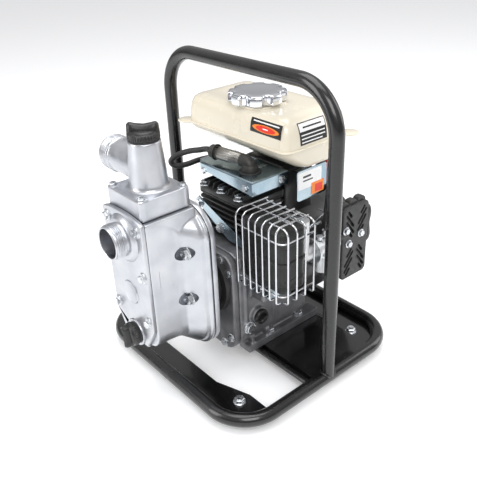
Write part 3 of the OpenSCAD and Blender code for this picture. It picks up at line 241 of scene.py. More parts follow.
def make_looks():
    looks = {}

    def look(slot, colour, metallic=0.0, rough=0.4):
        looks[slot] = Look(slot, colour, metallic, rough)
        return looks[slot]

    look("frame_paint", grey(0.006), 0, 0.26).worn(40, 0.18, 0.32).bump(160, 0.05).coat(0.3, 0.08)
    look("bed_paint", grey(0.005), 0, 0.2).worn(30, 0.12, 0.26).bump(90, 0.04).coat(0.4, 0.05)
    look("rubber", grey(0.018), 0, 0.7).worn(300, 0.6, 0.85).bump(900, 0.08)
    look("zinc_bolt", (0.62, 0.64, 0.66), 1, 0.22).worn(400, 0.14, 0.36).bump(700, 0.03)
    look("pump_alloy", (0.52, 0.53, 0.56), 1, 0.32).mottle(28, (0.46, 0.475, 0.51), (0.57, 0.58, 0.605)) \
        .worn(60, 0.28, 0.42).bump(1100, 0.035, 2).bump(110, 0.06)
    look("gasket", grey(0.02), 0, 0.6).worn(300, 0.5, 0.75).bump(700, 0.05)
    look("bracket_iron", grey(0.03), 0.3, 0.45).worn(80, 0.35, 0.6).bump(600, 0.12)
    look("bronze", (0.62, 0.44, 0.2), 1, 0.4).mottle(60, (0.5, 0.34, 0.15), (0.7, 0.52, 0.26)).bump(500, 0.1)
    look("seal_carbon", grey(0.03), 0, 0.35).worn(200, 0.25, 0.45).bump(800, 0.02)
    look("seal_ceramic", (0.85, 0.82, 0.76), 0, 0.2).worn(100, 0.12, 0.3).bump(500, 0.02)
    look("black_plastic", grey(0.012), 0, 0.3).worn(120, 0.22, 0.42).bump(900, 0.05)
    look("crankcase_alloy", (0.2, 0.2, 0.21), 0.75, 0.42).mottle(40, (0.15, 0.15, 0.16), (0.26, 0.26, 0.27)) \
        .worn(90, 0.35, 0.55).bump(700, 0.12).bump(90, 0.1)
    look("cylinder_black", grey(0.015), 0.2, 0.4).worn(100, 0.32, 0.55).bump(600, 0.14)
    look("blue_zinc", (0.36, 0.46, 0.52), 1, 0.2).mottle(14, (0.26, 0.36, 0.43), (0.48, 0.56, 0.6)) \
        .worn(26, 0.12, 0.28).bump(60, 0.08)
    look("plug_steel", (0.76, 0.76, 0.74), 1, 0.25).worn(300, 0.18, 0.35).bump(500, 0.02)
    look("boot_rubber", (0.02, 0.019, 0.017), 0, 0.5).worn(200, 0.4, 0.62).bump(700, 0.06)
    look("lead_rubber", grey(0.016), 0, 0.42).worn(200, 0.34, 0.55).bump(900, 0.05)
    look("coil_black", grey(0.02), 0, 0.45).worn(200, 0.35, 0.6).bump(700, 0.05)
    look("steel", (0.56, 0.57, 0.58), 1, 0.3).worn(200, 0.2, 0.4).bump(500, 0.03)
    look("piston_alloy", (0.76, 0.77, 0.78), 1, 0.32).worn(200, 0.22, 0.42).bump(500, 0.03)
    look("flywheel_alloy", (0.52, 0.53, 0.54), 1, 0.4).worn(100, 0.32, 0.5).bump(600, 0.12)
    look("shell_black", grey(0.014), 0, 0.34).worn(70, 0.26, 0.45).bump(260, 0.05).coat(0.25, 0.2)
    look("reel_nylon", (0.8, 0.76, 0.66), 0, 0.45).worn(120, 0.36, 0.55).bump(500, 0.04)
    look("tank_cream", (0.74, 0.68, 0.55), 0, 0.22).mottle(7, (0.71, 0.645, 0.52), (0.76, 0.70, 0.57)) \
        .worn(24, 0.16, 0.3).bump(70, 0.1).coat(0.6, 0.06)
    look("chrome", (0.74, 0.755, 0.79), 1, 0.08).worn(80, 0.05, 0.15).bump(200, 0.02)
    look("tap_alloy", (0.66, 0.67, 0.68), 1, 0.36).worn(100, 0.28, 0.46).bump(700, 0.08)
    look("red_plastic", (0.6, 0.05, 0.02), 0, 0.35).worn(120, 0.26, 0.45).bump(700, 0.04)
    look("carb_alloy", (0.6, 0.61, 0.62), 1, 0.4).worn(100, 0.3, 0.5).bump(600, 0.1)
    look("cleaner_plastic", grey(0.03), 0, 0.5).worn(160, 0.4, 0.6).bump(1300, 0.09)
    look("muffler_black", grey(0.01), 0, 0.42).worn(60, 0.32, 0.55).bump(500, 0.1)
    look("guard_wire", (0.62, 0.63, 0.65), 1, 0.14).worn(200, 0.08, 0.24).bump(300, 0.03)
    return {name: made.mat for name, made in looks.items()}


LOOKS = make_looks()


def dress_nodes():
    """Every CAD node takes the look of its slot."""
    for part in frame["record"]["subparts"]:
        node = NODES[part["node"]]
        for slot in node.material_slots:
            slot.material = LOOKS[part["material_slot"]]


dress_nodes()



# ---------------------------------------------------------------- shape kit, all in millimetres

# Where an outline's two directions and its depth go, for a shape along X, Y or Z
ALONG = {
    "x": Matrix(((0, 0, 1, 0), (1, 0, 0, 0), (0, 1, 0, 0), (0, 0, 0, 1))),
    "y": Matrix(((1, 0, 0, 0), (0, 0, 1, 0), (0, 1, 0, 0), (0, 0, 0, 1))),
    "z": Matrix.Identity(4),
}


def box_of(node):
    """A CAD node's lowest and highest corners, in millimetres."""
    low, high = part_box(node)
    return Vector(low) / MM, Vector(high) / MM


def aim(at, direction, spin=0):
    """A matrix that takes +Z to the direction, turned by spin degrees about it."""
    turn = Vector(direction).to_track_quat("Z", "Y").to_matrix().to_4x4()
    return Matrix.Translation(Vector(at)) @ turn @ Matrix.Rotation(math.radians(spin), 4, "Z")


def ring(radius, steps=48, centre=(0, 0), start=0, sweep=360):
    """Points round a circle, or round an arc of it with both ends."""
    count = steps if sweep == 360 else steps + 1
    return [
        (
            centre[0] + radius * math.cos(math.radians(start + sweep * i / steps)),
            centre[1] + radius * math.sin(math.radians(start + sweep * i / steps)),
        )
        for i in range(count)
    ]


def round_rect(w, h, r, centre=(0, 0), steps=8):
    points = []
    for quarter, (sx, sy) in enumerate(((1, 1), (-1, 1), (-1, -1), (1, -1))):
        corner = (centre[0] + sx * (w / 2 - r), centre[1] + sy * (h / 2 - r))
        points += ring(r, steps, corner, 90 * quarter, 90)
    return points


def round_corners(points, radii, steps=6, closed=True):
    """A polyline with its corners rounded; works in two or three dimensions."""
    points = [Vector(p) for p in points]
    count = len(points)
    if not hasattr(radii, "__len__"):
        radii = [radii] * count
    path = []
    for i, (here, r) in enumerate(zip(points, radii)):
        if not closed and i in (0, count - 1):
            path.append(here)
            continue
        back = (points[i - 1] - here).normalized()
        ahead = (points[(i + 1) % count] - here).normalized()
        half = back.angle(ahead) / 2
        if r <= 0 or half > math.radians(89):
            path.append(here)
            continue
        reach = r / math.tan(half)
        middle = here + (back + ahead).normalized() * (r / math.sin(half))
        first = here + back * reach - middle
        last = here + ahead * reach - middle
        span = first.angle(last)
        for k in range(steps + 1):
            t = k / steps
            blend = (first * math.sin((1 - t) * span) + last * math.sin(t * span)) / math.sin(span)
            path.append(middle + blend)
    return path


def smooth_path(points, per_span=6):
    """Catmull-Rom curve through the points."""
    points = [Vector(p) for p in points]
    points = [2 * points[0] - points[1]] + points + [2 * points[-1] - points[-2]]
    path = []
    for i in range(1, len(points) - 2):
        p0, p1, p2, p3 = points[i - 1 : i + 3]
        for k in range(per_span):
            t = k / per_span
            path.append(
                0.5
                * (
                    2 * p1
                    + (p2 - p0) * t
                    + (2 * p0 - 5 * p1 + 4 * p2 - p3) * t**2
                    + (3 * p1 - p0 - 3 * p2 + p3) * t**3
                )
            )
    path.append(points[-2])
    return path


class Shape:
    """Collects closed shells in millimetres, then becomes one Blender object in metres."""

    def __init__(self):
        self.bm = bmesh.new()

    def loft(self, rings, m=None, closed=False):
        """Skins rings of the same count; the ends are capped unless the loft closes on itself."""
        m = m or Matrix.Identity(4)
        rows = [[self.bm.verts.new(m @ Vector(p)) for p in points] for points in rings]
        pairs = list(zip(rows, rows[1:]))
        if closed:
            pairs.append((rows[-1], rows[0]))
        for low, high in pairs:
            for i in range(len(low)):
                j = (i + 1) % len(low)
                self.bm.faces.new((low[i], low[j], high[j], high[i]))
        if not closed:
            self.bm.faces.new(rows[0][::-1])
            self.bm.faces.new(rows[-1])
        return self

    def prism(self, outline, low, high, axis="z", m=None):
        m = (m or Matrix.Identity(4)) @ ALONG[axis]
        return self.loft([[(p[0], p[1], d) for p in outline] for d in (low, high)], m)

    def slab(self, outline, low, high, soft, axis="z", m=None, steps=3):
        """A prism whose two rims are rounded by a radius, towards the outline's own middle."""
        m = (m or Matrix.Identity(4)) @ ALONG[axis]
        rings = []
        for level, way in ((low, 1), (high, -1)):
            arc = [math.radians(90 * k / steps) for k in range(steps + 1)]
            part = []
            for a in arc:
                drawn = shrink(outline, soft * (1 - math.sin(a)))
                depth = level + way * soft * (1 - math.cos(a))
                part.append([(p[0], p[1], depth) for p in drawn])
            rings += part if way > 0 else part[::-1]
        return self.loft(rings, m)

    def box(self, low, high):
        (x0, y0, z0), (x1, y1, z1) = low, high
        return self.prism([(x0, y0), (x1, y0), (x1, y1), (x0, y1)], z0, z1)

    def lathe(self, profile, at=(0, 0, 0), direction=(0, 0, 1), steps=64, closed=False, m=None):
        """Turns (radius, height) points about the direction."""
        m = m or aim(at, direction)
        tiny = 0.001
        rings = [[(p[0], p[1], h) for p in ring(max(r, tiny), steps)] for r, h in profile]
        return self.loft(rings, m, closed)

    def tube(self, path, radius, sides=16, closed=False):
        """Sweeps a circle along the path; radius may be one number or one per point."""
        path = [Vector(p) for p in path]
        radii = radius if hasattr(radius, "__len__") else [radius] * len(path)
        count = len(path)

        def heading(i):
            if closed:
                return (path[(i + 1) % count] - path[i - 1]).normalized()
            return (path[min(i + 1, count - 1)] - path[max(i - 1, 0)]).normalized()

        side = heading(0).orthogonal().normalized()
        rings = []
        for i, (p, r) in enumerate(zip(path, radii)):
            t = heading(i)
            side = (side - t * side.dot(t)).normalized()
            other = t.cross(side)
            rings.append([p + r * (c * side + s * other) for c, s in ring(1, sides)])
        return self.loft(rings, None, closed)

    def hex_bolt(self, at, direction, size, head=None, spin=0, flange=True, stud=0):
        """Flange bolt head on a surface, or a nut with its stud showing."""
        head = head or 0.7 * size
        m = aim(at, direction, spin)
        rim = 0.2 * head if flange else 0
        if flange:
            self.lathe([(0, -0.4), (1.12 * size, -0.4), (1.12 * size, 0.5 * rim), (0.95 * size, rim), (0, rim)], m=m)
        across = 0.93 * size
        rows = ((1, 0), (1, 0.86), (0.88, 1))
        rings = [
            [(p[0], p[1], rim - 0.2 + h * (head - rim)) for p in ring(across * s, 6)] for s, h in rows
        ]
        self.loft(rings, m)
        if stud:
            profile = [(0, 0)]
            turns = int(stud / 1.25)
            for i in range(turns):
                profile += [(0.5 * size, head + 1.25 * i), (0.44 * size, head + 1.25 * (i + 0.5))]
            profile += [(0.42 * size, head + stud), (0, head + stud)]
            self.lathe(profile, steps=20, m=m)
        return self

    def done(self, name, slot, body="root", replaces=(), bevel=0, segments=2, angle=35):
        bmesh.ops.recalc_face_normals(self.bm, faces=self.bm.faces)
        bmesh.ops.scale(self.bm, vec=(MM, MM, MM), verts=self.bm.verts)
        mesh = bpy.data.meshes.new(name)
        self.bm.to_mesh(mesh)
        self.bm.free()
        obj = bpy.data.objects.new(name, mesh)
        bpy.context.scene.collection.objects.link(obj)
        return finish_piece(obj, slot, body, replaces, bevel, segments, angle)


def shrink(outline, by):
    """Moves a counter-clockwise outline inwards along its own corners' bisectors."""
    if by <= 0:
        return [(p[0], p[1]) for p in outline]
    points = [Vector((p[0], p[1])) for p in outline]
    area = sum(a.x * b.y - b.x * a.y for a, b in zip(points, points[1:] + points[:1]))
    way = 1 if area > 0 else -1
    moved = []
    for i, here in enumerate(points):
        back = (here - points[i - 1]).normalized()
        ahead = (points[(i + 1) % len(points)] - here).normalized()
        normal = Vector((-(back.y + ahead.y), back.x + ahead.x)).normalized() * way
        cosine = max(0.5, abs(normal.dot(Vector((-back.y, back.x)))))
        moved.append(here + normal * by / cosine)
    return [(p.x, p.y) for p in moved]


def finish_piece(obj, slot, body="root", replaces=(), bevel=0, segments=2, angle=35):
    """Material, bevel, shading and the body that the piece rides on, if it rides on only one."""
    obj.data.materials.clear()
    obj.data.materials.append(LOOKS[slot])
    for face in obj.data.polygons:
        face.use_smooth = True
    obj.data.set_sharp_from_angle(angle=math.radians(angle))
    if bevel:
        round_over = obj.modifiers.new("edges", "BEVEL")
        round_over.width = bevel * MM
        round_over.segments = segments
        round_over.limit_method = "ANGLE"
        round_over.angle_limit = math.radians(angle)
        weight = obj.modifiers.new("shading", "WEIGHTED_NORMAL")
        weight.keep_sharp = True
    if body:
        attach(obj, body)
    if replaces:
        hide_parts(*replaces)
    return obj


def apply_all(obj):
    """Applies the modifiers, so that the mesh is final."""
    bpy.context.view_layer.update()
    graph = bpy.context.evaluated_depsgraph_get()
    mesh = bpy.data.meshes.new_from_object(obj.evaluated_get(graph))
    obj.modifiers.clear()
    obj.data = mesh
    return obj


def raw(shape, name):
    """A plain object from a shape, before cutting and casting."""
    bmesh.ops.recalc_face_normals(shape.bm, faces=shape.bm.faces)
    bmesh.ops.scale(shape.bm, vec=(MM, MM, MM), verts=shape.bm.verts)
    mesh = bpy.data.meshes.new(name)
    shape.bm.to_mesh(mesh)
    shape.bm.free()
    obj = bpy.data.objects.new(name, mesh)
    bpy.context.scene.collection.objects.link(obj)
    return obj


def cut(obj, *tools):
    """Takes closed shapes out of a piece."""
    for k, tool in enumerate(tools):
        cutter = raw(tool, f"cutter_{k}")
        trim = obj.modifiers.new("cut", "BOOLEAN")
        trim.object = cutter
        trim.operation = "DIFFERENCE"
        trim.solver = "MANIFOLD"
        apply_all(obj)
        bpy.data.objects.remove(cutter)
    return obj


def cast(obj, grain, rounds):
    """Turns overlapping shells into one skin with small fillets, as a casting has."""
    skin = obj.modifiers.new("skin", "REMESH")
    skin.mode = "VOXEL"
    skin.voxel_size = grain * MM
    ease = obj.modifiers.new("fillets", "SMOOTH")
    ease.factor = 0.5
    ease.iterations = rounds
    return apply_all(obj)


def soften(node, width, slot=None, body="root", name=None, angle=30, segments=2):
    """Gives a CAD node's own shape rounded edges, in a piece that stands for it."""
    source = NODES[node]
    mesh = source.data.copy()
    bm = bmesh.new()
    bm.from_mesh(mesh)
    bmesh.ops.remove_doubles(bm, verts=bm.verts, dist=0.00001)
    flat = math.radians(0.6)
    bmesh.ops.dissolve_limit(bm, angle_limit=flat, verts=bm.verts, edges=bm.edges)
    bm.to_mesh(mesh)
    bm.free()
    obj = bpy.data.objects.new(name or f"{node}_fine", mesh)
    bpy.context.scene.collection.objects.link(obj)
    obj.matrix_world = source.matrix_world
    slots = {part["node"]: part["material_slot"] for part in frame["record"]["subparts"]}
    piece = finish_piece(obj, slot or slots[node], body, (node,), width, segments, angle)
    return piece


# ---------------------------------------------------------------- places, from the frame

JOINTS = {joint["name"]: joint for joint in frame["joints"]}


def pivot(joint):
    return Vector(JOINTS[joint]["pos_m"]) / MM


CRANK = pivot("crank_spin")
AXIS_Y = CRANK.y
LOOP = box_of("base_loop")
HOOP = box_of("roll_hoop")
CASING = box_of("pump_casing")
COVER = box_of("front_cover")
TOWER = box_of("outlet_tower")
PLATE = box_of("back_plate")
TANK = box_of("fuel_tank")
CAP = box_of("fuel_cap")
SHROUD = box_of("shroud")
GUARD = box_of("muffler_guard")
MUFFLER = box_of("muffler")
CLEANER = box_of("air_cleaner")
PLUG = box_of("spark_plug")
COIL = box_of("ignition_coil")
HOUSING = box_of("fan_housing")
RECOIL = box_of("recoil_cover")
TUBE_R = 10


def middle(box):
    return (box[0] + box[1]) / 2


# ---------------------------------------------------------------- frame


def weld_bead(shape, at):
    """The bead where an upright tube stands on a level tube along X; it fades out at the flanks."""
    flank = TUBE_R - 2.1
    path = []
    for x, y in ring(TUBE_R + 0.6, 64):
        path.append((at[0] + x, at[1] + max(-flank, min(flank, y)), at[2] + abs(x)))
    wave = [1.7 + 0.25 * math.sin(9 * i) for i in range(len(path))]
    shape.tube(path, wave, 10, closed=True)


def frame_tubes():
    base_bend = 59
    hoop_bend = 63
    low, high = LOOP
    z = middle(LOOP).z
    x0, x1 = low.x + TUBE_R, high.x - TUBE_R
    y0, y1 = low.y + TUBE_R, high.y - TUBE_R
    corners = [(x0, y0, z), (x1, y0, z), (x1, y1, z), (x0, y1, z)]
    Shape().tube(round_corners(corners, base_bend, 24), TUBE_R, 40, closed=True).done(
        "base_tube", "frame_paint", replaces=("base_loop",)
    )
    x = middle(HOOP).x
    top = HOOP[1].z - TUBE_R
    path = round_corners([(x, y0, z + 2), (x, y0, top), (x, y1, top), (x, y1, z + 2)], hoop_bend, 24, closed=False)
    hoop = Shape().tube(path, TUBE_R - 0.02, 40)
    for y in (y0, y1):
        weld_bead(hoop, (x, y, z))
    hoop.done("hoop_tube", "frame_paint", replaces=("roll_hoop",))


frame_tubes()
for plain, edge in (("front_foot_plate", 0.8), ("rear_foot_plate", 0.8), ("engine_bed", 1.2), ("cross_rail", 0)):
    soften(plain, edge)
soften("rubber_feet", 1.0)


def foot_bolts():
    shape = Shape()
    feet = box_of("rubber_feet")
    bolts = box_of("foot_bolts")
    top = feet[1].z + 3
    reach = 7
    for x in (bolts[0].x + 8, bolts[1].x - 8):
        for y in (bolts[0].y + 8, bolts[1].y - 8):
            shape.hex_bolt((x, y, top), (0, 0, 1), 8, 6.5, spin=15, stud=bolts[1].z - top - 6.6)
            shape.lathe([(0, 0), (8, 0), (8, 1.2), (0, 1.2)], (x, y, top), (0, 0, 1))
            shape.hex_bolt((x, y, reach - 1.5), (0, 0, -1), 8, 4.2, flange=False)
    shape.done("foot_fasteners", "zinc_bolt", replaces=("foot_bolts",))


foot_bolts()


def bed_bolts():
    shape = Shape()
    bolts = box_of("engine_bolts")
    for x in (bolts[0].x + 8.4, bolts[1].x - 8.4):
        for y in (bolts[0].y + 8.4, bolts[1].y - 8.4):
            shape.hex_bolt((x, y, bolts[1].z - 6), (0, 0, 1), 8, 6)
            shape.hex_bolt((x, y, bolts[0].z + 15), (0, 0, -1), 8, 6.5, stud=6)
    shape.done("bed_fasteners", "zinc_bolt", replaces=("engine_bolts",))


bed_bolts()


# ---------------------------------------------------------------- pump

# Casing sections from the flange to the cover: x from the flange, half width, top, bottom, upper and lower corner
FLANGE_X = CASING[1].x
FRONT_X = COVER[1].x
DECK_Z = TOWER[0].z - 1
MID_Z = middle(PLATE).z


def casing_section(x, half, top, bottom, upper_r, lower_r, steps=10):
    points = []
    corners = ((1, 1, top, upper_r), (-1, 1, top, upper_r), (-1, -1, bottom, lower_r), (1, -1, bottom, lower_r))
    for quarter, (sy, sz, z, r) in enumerate(corners):
        centre = (AXIS_Y + sy * (half - r), z - sz * r)
        points += ring(r, steps, centre, 90 * quarter, 90)
    return [(x, y, z) for y, z in points]


def pocket(x, y, z):
    """Scoop round a casing bolt: a half round channel with a ball end."""
    shape = Shape()
    radius = 10
    profile = [(0, -14)]
    for k in range(9):
        a = math.radians(90 - 90 * k / 8)
        profile.append((radius * math.cos(a), -14 * math.sin(a)))
    profile += [(radius, 12), (0, 12)]
    return shape.lathe(profile[1:], (x, y, z), (1, 0, 0), steps=40)


BOLT_HEAD_X = box_of("casing_bolts")[0].x + 6
CASING_BOLTS = [
    (BOLT_HEAD_X, AXIS_Y + s * 51, MID_Z + up) for s in (-1, 1) for up in (-14, 56)
]
DRAIN = pivot("drain_turn")


def pump_casing():
    shape = Shape()
    sections = [
        casing_section(FLANGE_X - 4, 63, DECK_Z - 6, 74, 41, 41),
        casing_section(FLANGE_X - 12, 61.5, DECK_Z - 5, 76, 40, 40),
        casing_section(FLANGE_X - 33, 47, DECK_Z - 2, 92, 33, 30),
        casing_section(FLANGE_X - 42, 46, DECK_Z - 1, 98, 20, 24),
        casing_section(FLANGE_X - 60, 46, DECK_Z, 101, 9, 22),
        casing_section(FRONT_X, 46, DECK_Z, 102, 2.5, 22),
    ]
    shape.loft(sections)
    # flange that meets the back plate
    shape.prism(round_rect(132, 220, 45, (AXIS_Y, MID_Z), 12), FLANGE_X - 5, FLANGE_X, "x")
    # pad under the tower, foot of the drain and the drain's own boss
    shape.box((FRONT_X + 0.6, AXIS_Y - 45.6, DECK_Z - 30), (FRONT_X + 76, AXIS_Y + 45.6, DECK_Z + 0.4))
    shape.prism(round_rect(40, 30, 6, (AXIS_Y, 107)), FRONT_X, FRONT_X + 40, "x")
    shape.lathe([(0, 0), (20, 0), (20, 40), (0, 40)], (CASING[0].x, AXIS_Y, DRAIN.z), (1, 0, 0))
    casing = raw(shape, "pump_shell")
    cast(casing, 1.3, 3)
    cut(casing, *[pocket(x - 1, y + (4 if y < AXIS_Y else -4), z) for x, y, z in CASING_BOLTS])
    # mould mark on the near panel
    mark = Shape().box((FRONT_X + 12, AXIS_Y - 47, MID_Z + 19), (FRONT_X + 13.2, AXIS_Y - 45.4, MID_Z + 44))
    cut(casing, mark)
    finish_piece(casing, "pump_alloy", replaces=("pump_casing",), angle=38)


def back_plate():
    shape = Shape()
    low, high = PLATE
    outline = round_rect(132, 220, 45, (AXIS_Y, MID_Z), 14)
    shape.slab(outline, low.x, high.x, 1.2, "x")
    hub = [(38, high.x - 0.1), (52, high.x - 0.1), (50, high.x), (38, high.x)]
    shape.lathe([(r, x) for r, x in hub], (0, AXIS_Y, CRANK.z), (1, 0, 0), closed=True)
    shape.done("rear_plate", "pump_alloy", replaces=("back_plate",), angle=40)
    # thin black joint between the casing and the plate
    Shape().prism(shrink(outline, 0.5), FLANGE_X, low.x, "x").done("casing_joint", "gasket")


def helix_thread(shape, at, direction, radius, bore, start, length, pitch, depth):
    """A hose spigot with a true helical thread, along the direction from the point."""
    m = aim(at, direction)
    around = 72
    per_turn = 6
    rows = int(length / pitch * per_turn)
    run_out = 1.2 * per_turn
    rings = [[(*p, start - 6) for p in ring(bore, around)], [(*p, start - 6) for p in ring(radius - depth, around)]]
    for i in range(rows + 1):
        row = []
        for k, (c, s) in enumerate(ring(1, around)):
            phase = (i / per_turn - k / around) % 1
            crest = min(1, max(0, 2.4 * (0.5 - abs(phase - 0.5))))
            fade = min(1, (i + 0.5) / run_out, (rows - i + 0.5) / run_out)
            r = radius - depth + depth * crest * fade
            row.append((r * c, r * s, start + length * i / rows))
        rings.append(row)
    end = start + length
    rings.append([(*p, end + 1.2) for p in ring(radius - depth, around)])
    rings.append([(*p, end + 2) for p in ring(radius - depth - 0.8, around)])
    rings.append([(*p, end + 2) for p in ring(bore + 0.6, around)])
    rings.append([(*p, end + 1.4) for p in ring(bore, around)])
    shape.loft(rings, m, closed=True)


INLET_Z = box_of("inlet_flap")[0].z + 23
PORT_R = 23.9
PORT_BORE = 20
COVER_BOLTS = [
    (AXIS_Y + y, z)
    for y, z in (
        (-35, DECK_Z - 10), (35, DECK_Z - 10), (-38, MID_Z + 38), (-38, MID_Z - 32), (38, MID_Z - 32)
    )
]


def front_cover():
    face = FRONT_X - 6
    shape = Shape()
    half = 46
    low = 102
    outline = [(AXIS_Y - half, low + 34), (AXIS_Y - 26, low), (AXIS_Y + 26, low), (AXIS_Y + half, low + 34)]
    soft = round_corners(outline, 0)
    arch = [
        (AXIS_Y + half * math.cos(math.pi * k / 24) * 1.0, DECK_Z - 1 + 8 * math.sin(math.pi * k / 24))
        for k in range(25)
    ]
    plate = [(p.x, p.y) for p in soft] + arch
    shape.slab(plate, face, FRONT_X, 1.4, "x")
    # collar under the inlet, its fillet, and the smooth neck before the thread
    at = (face, AXIS_Y, INLET_Z)
    collar = [(PORT_BORE, 3), (34, 3), (33, -0.6), (30.5, -2.2), (29, -4.5), (27, -5.4), (PORT_R - 0.6, -6)]
    neck = [(PORT_R - 1.2, -9), (PORT_BORE, -9)]
    shape.lathe([(r, -x) for r, x in collar + neck], at, (-1, 0, 0), closed=True, steps=72)
    helix_thread(shape, at, (-1, 0, 0), PORT_R, PORT_BORE, 8, 14, 2.3, 1.5)
    # round cast boss
    boss = [(0, 0), (17.5, 0), (16.6, 1.3), (15.6, 1.5), (14.6, 0.9), (0, 0.9)]
    shape.lathe(boss, (face, AXIS_Y, MID_Z), (-1, 0, 0))
    for y, z in COVER_BOLTS:
        pad = [(0, -0.5), (8.6, -0.5), (7.8, 1.2), (7.2, 1.5), (0, 1.5)]
        shape.lathe(pad, (face, y, z), (-1, 0, 0))
    cover = raw(shape, "cover_plate")
    bore = Shape().lathe([(0, -40), (PORT_BORE, -40), (PORT_BORE, 12), (0, 12)], at, (1, 0, 0), steps=72)
    drain = Shape().lathe([(0, -10), (20.3, -10), (20.3, 20), (0, 20)], (face, AXIS_Y, DRAIN.z), (1, 0, 0))
    drain.box((face - 5, AXIS_Y - 20.3, low - 10), (FRONT_X + 5, AXIS_Y + 20.3, DRAIN.z))
    cut(cover, bore, drain)
    finish_piece(cover, "pump_alloy", replaces=("front_cover",), angle=42)
    Shape().slab(shrink(plate, 0.4), FRONT_X, CASING[0].x + 8, 0.1, "x").done(
        "cover_joint", "gasket", replaces=("cover_gasket",)
    )
    bolts = Shape()
    for k, (y, z) in enumerate(COVER_BOLTS):
        bolts.hex_bolt((face - 1.5, y, z), (-1, 0, 0), 6, 5, spin=11 * k)
    bolts.done("cover_fasteners", "zinc_bolt", replaces=("cover_bolts",))
    bolts = Shape()
    for k, (x, y, z) in enumerate(CASING_BOLTS):
        bolts.hex_bolt((x + 1, y, z), (-1, 0, 0), 8, 6.5, spin=17 * k)
    bolts.done("casing_fasteners", "zinc_bolt", replaces=("casing_bolts",))


TOWER_X = pivot("priming_turn").x


def outlet_tower():
    low, high = TOWER
    mid_x = TOWER_X
    box_h = 27
    top = high.z
    base = round_rect(74.6, 78, 3.5, (mid_x - 2.3, AXIS_Y), 5)
    shape = Shape()
    shape.slab(base, low.z, low.z + box_h, 0.9)
    # raised corner lugs under the four screws
    for x, y in tower_screw_places():
        shape.lathe([(0, -box_h), (6.4, -box_h), (6.4, 0.4), (5.4, 0.8), (0, 0.8)], (x, y, low.z + box_h), (0, 0, 1), 32)
    # cone with a wide fillet at its foot
    foot = low.z + box_h
    cone = [(0, foot - 3), (31, foot - 0.4), (28, foot + 0.6), (26.2, foot + 2.5), (25.3, foot + 6)]
    cone += [(20.9, top - 1), (20.2, top), (0, top)]
    shape.lathe(cone, (mid_x, AXIS_Y, 0), (0, 0, 1), 96)
    outlet_z = foot + 25
    at = (mid_x, AXIS_Y, outlet_z)
    length = high.y - AXIS_Y
    pipe = [(0, 0), (22.2, 0), (22.2, length - 21.5), (24.4, length - 21), (24.4, length - 18.6), (22.5, length - 18)]
    shape.lathe(pipe + [(22.5, length - 14), (0, length - 14)], at, (0, 1, 0), 96)
    tower = raw(shape, "tower_body")
    cast(tower, 1.1, 2)
    bores = [
        Shape().lathe([(0, 0), (PORT_BORE, 0), (PORT_BORE, 99), (0, 99)], at, (0, 1, 0), 72),
        Shape().lathe([(0, -40), (16.5, -40), (16.5, 9), (0, 9)], (mid_x, AXIS_Y, top), (0, 0, 1), 72),
    ]
    cut(tower, *bores)
    finish_piece(tower, "pump_alloy", replaces=("outlet_tower",), angle=40)
    thread = Shape()
    helix_thread(thread, at, (0, 1, 0), PORT_R, PORT_BORE, length - 17, 15, 2.3, 1.5)
    thread.done("outlet_thread_sleeve", "pump_alloy", angle=60)
    screws = Shape()
    for x, y in tower_screw_places():
        head = [(0, 0), (4.4, 0), (4.6, 0.5), (4.6, 3), (4.0, 3.6), (2.3, 3.6), (2.2, 1.6), (0, 1.6)]
        screws.lathe(head, (x, y, foot + 0.8), (0, 0, 1), 32)
    screws.done("tower_fasteners", "zinc_bolt", replaces=("tower_screws",))


def tower_screw_places():
    return [(TOWER_X + side, AXIS_Y + sy * 33) for side in (-33, 29) for sy in (-1, 1)]


pump_casing()
back_plate()
front_cover()
outlet_tower()


def wing(shape, m, width, thick, height, dip, flare=1.0):
    """A thumb wing with a dished top and soft edges, standing on z = 0."""
    steps = 16
    rings = []
    for level in range(9):
        t = level / 8
        row = []
        for k in range(2 * steps):
            if k < steps:
                u, side = -1 + 2 * k / (steps - 1), -1
            else:
                u, side = 1 - 2 * (k - steps) / (steps - 1), 1
            reach = width / 2 * (flare + (1 - flare) * t)
            edge = math.sqrt(max(0, 1 - abs(u) ** 5))
            crown = math.sqrt(max(0.02, 1 - t**6))
            x = reach * u
            y = side * thick / 2 * (0.35 + 0.65 * edge) * (1 - 0.3 * t) * crown
            z = t * (height - dip * (1 - u * u) - 0.3 * height * abs(u) ** 10)
            row.append((x, y, z))
        rings.append(row)
    shape.loft(rings, m)


def ribbed_collar(shape, m, radius, height, ribs):
    """Ribbed rim of a hand plug."""
    around = ribs * 6
    rings = []
    for h, grow, depth in ((0, -0.8, 0), (0.7, 0, 1), (height - 1, 0, 1), (height, -1, 0.2), (height + 0.6, -4, 0)):
        row = []
        for k, (c, s) in enumerate(ring(1, around)):
            wave = 0.55 * depth * (0.5 + 0.5 * math.cos(2 * math.pi * k / 6))
            row.append(((radius + grow + wave) * c, (radius + grow + wave) * s, h))
        rings.append(row)
    shape.loft(rings, m)


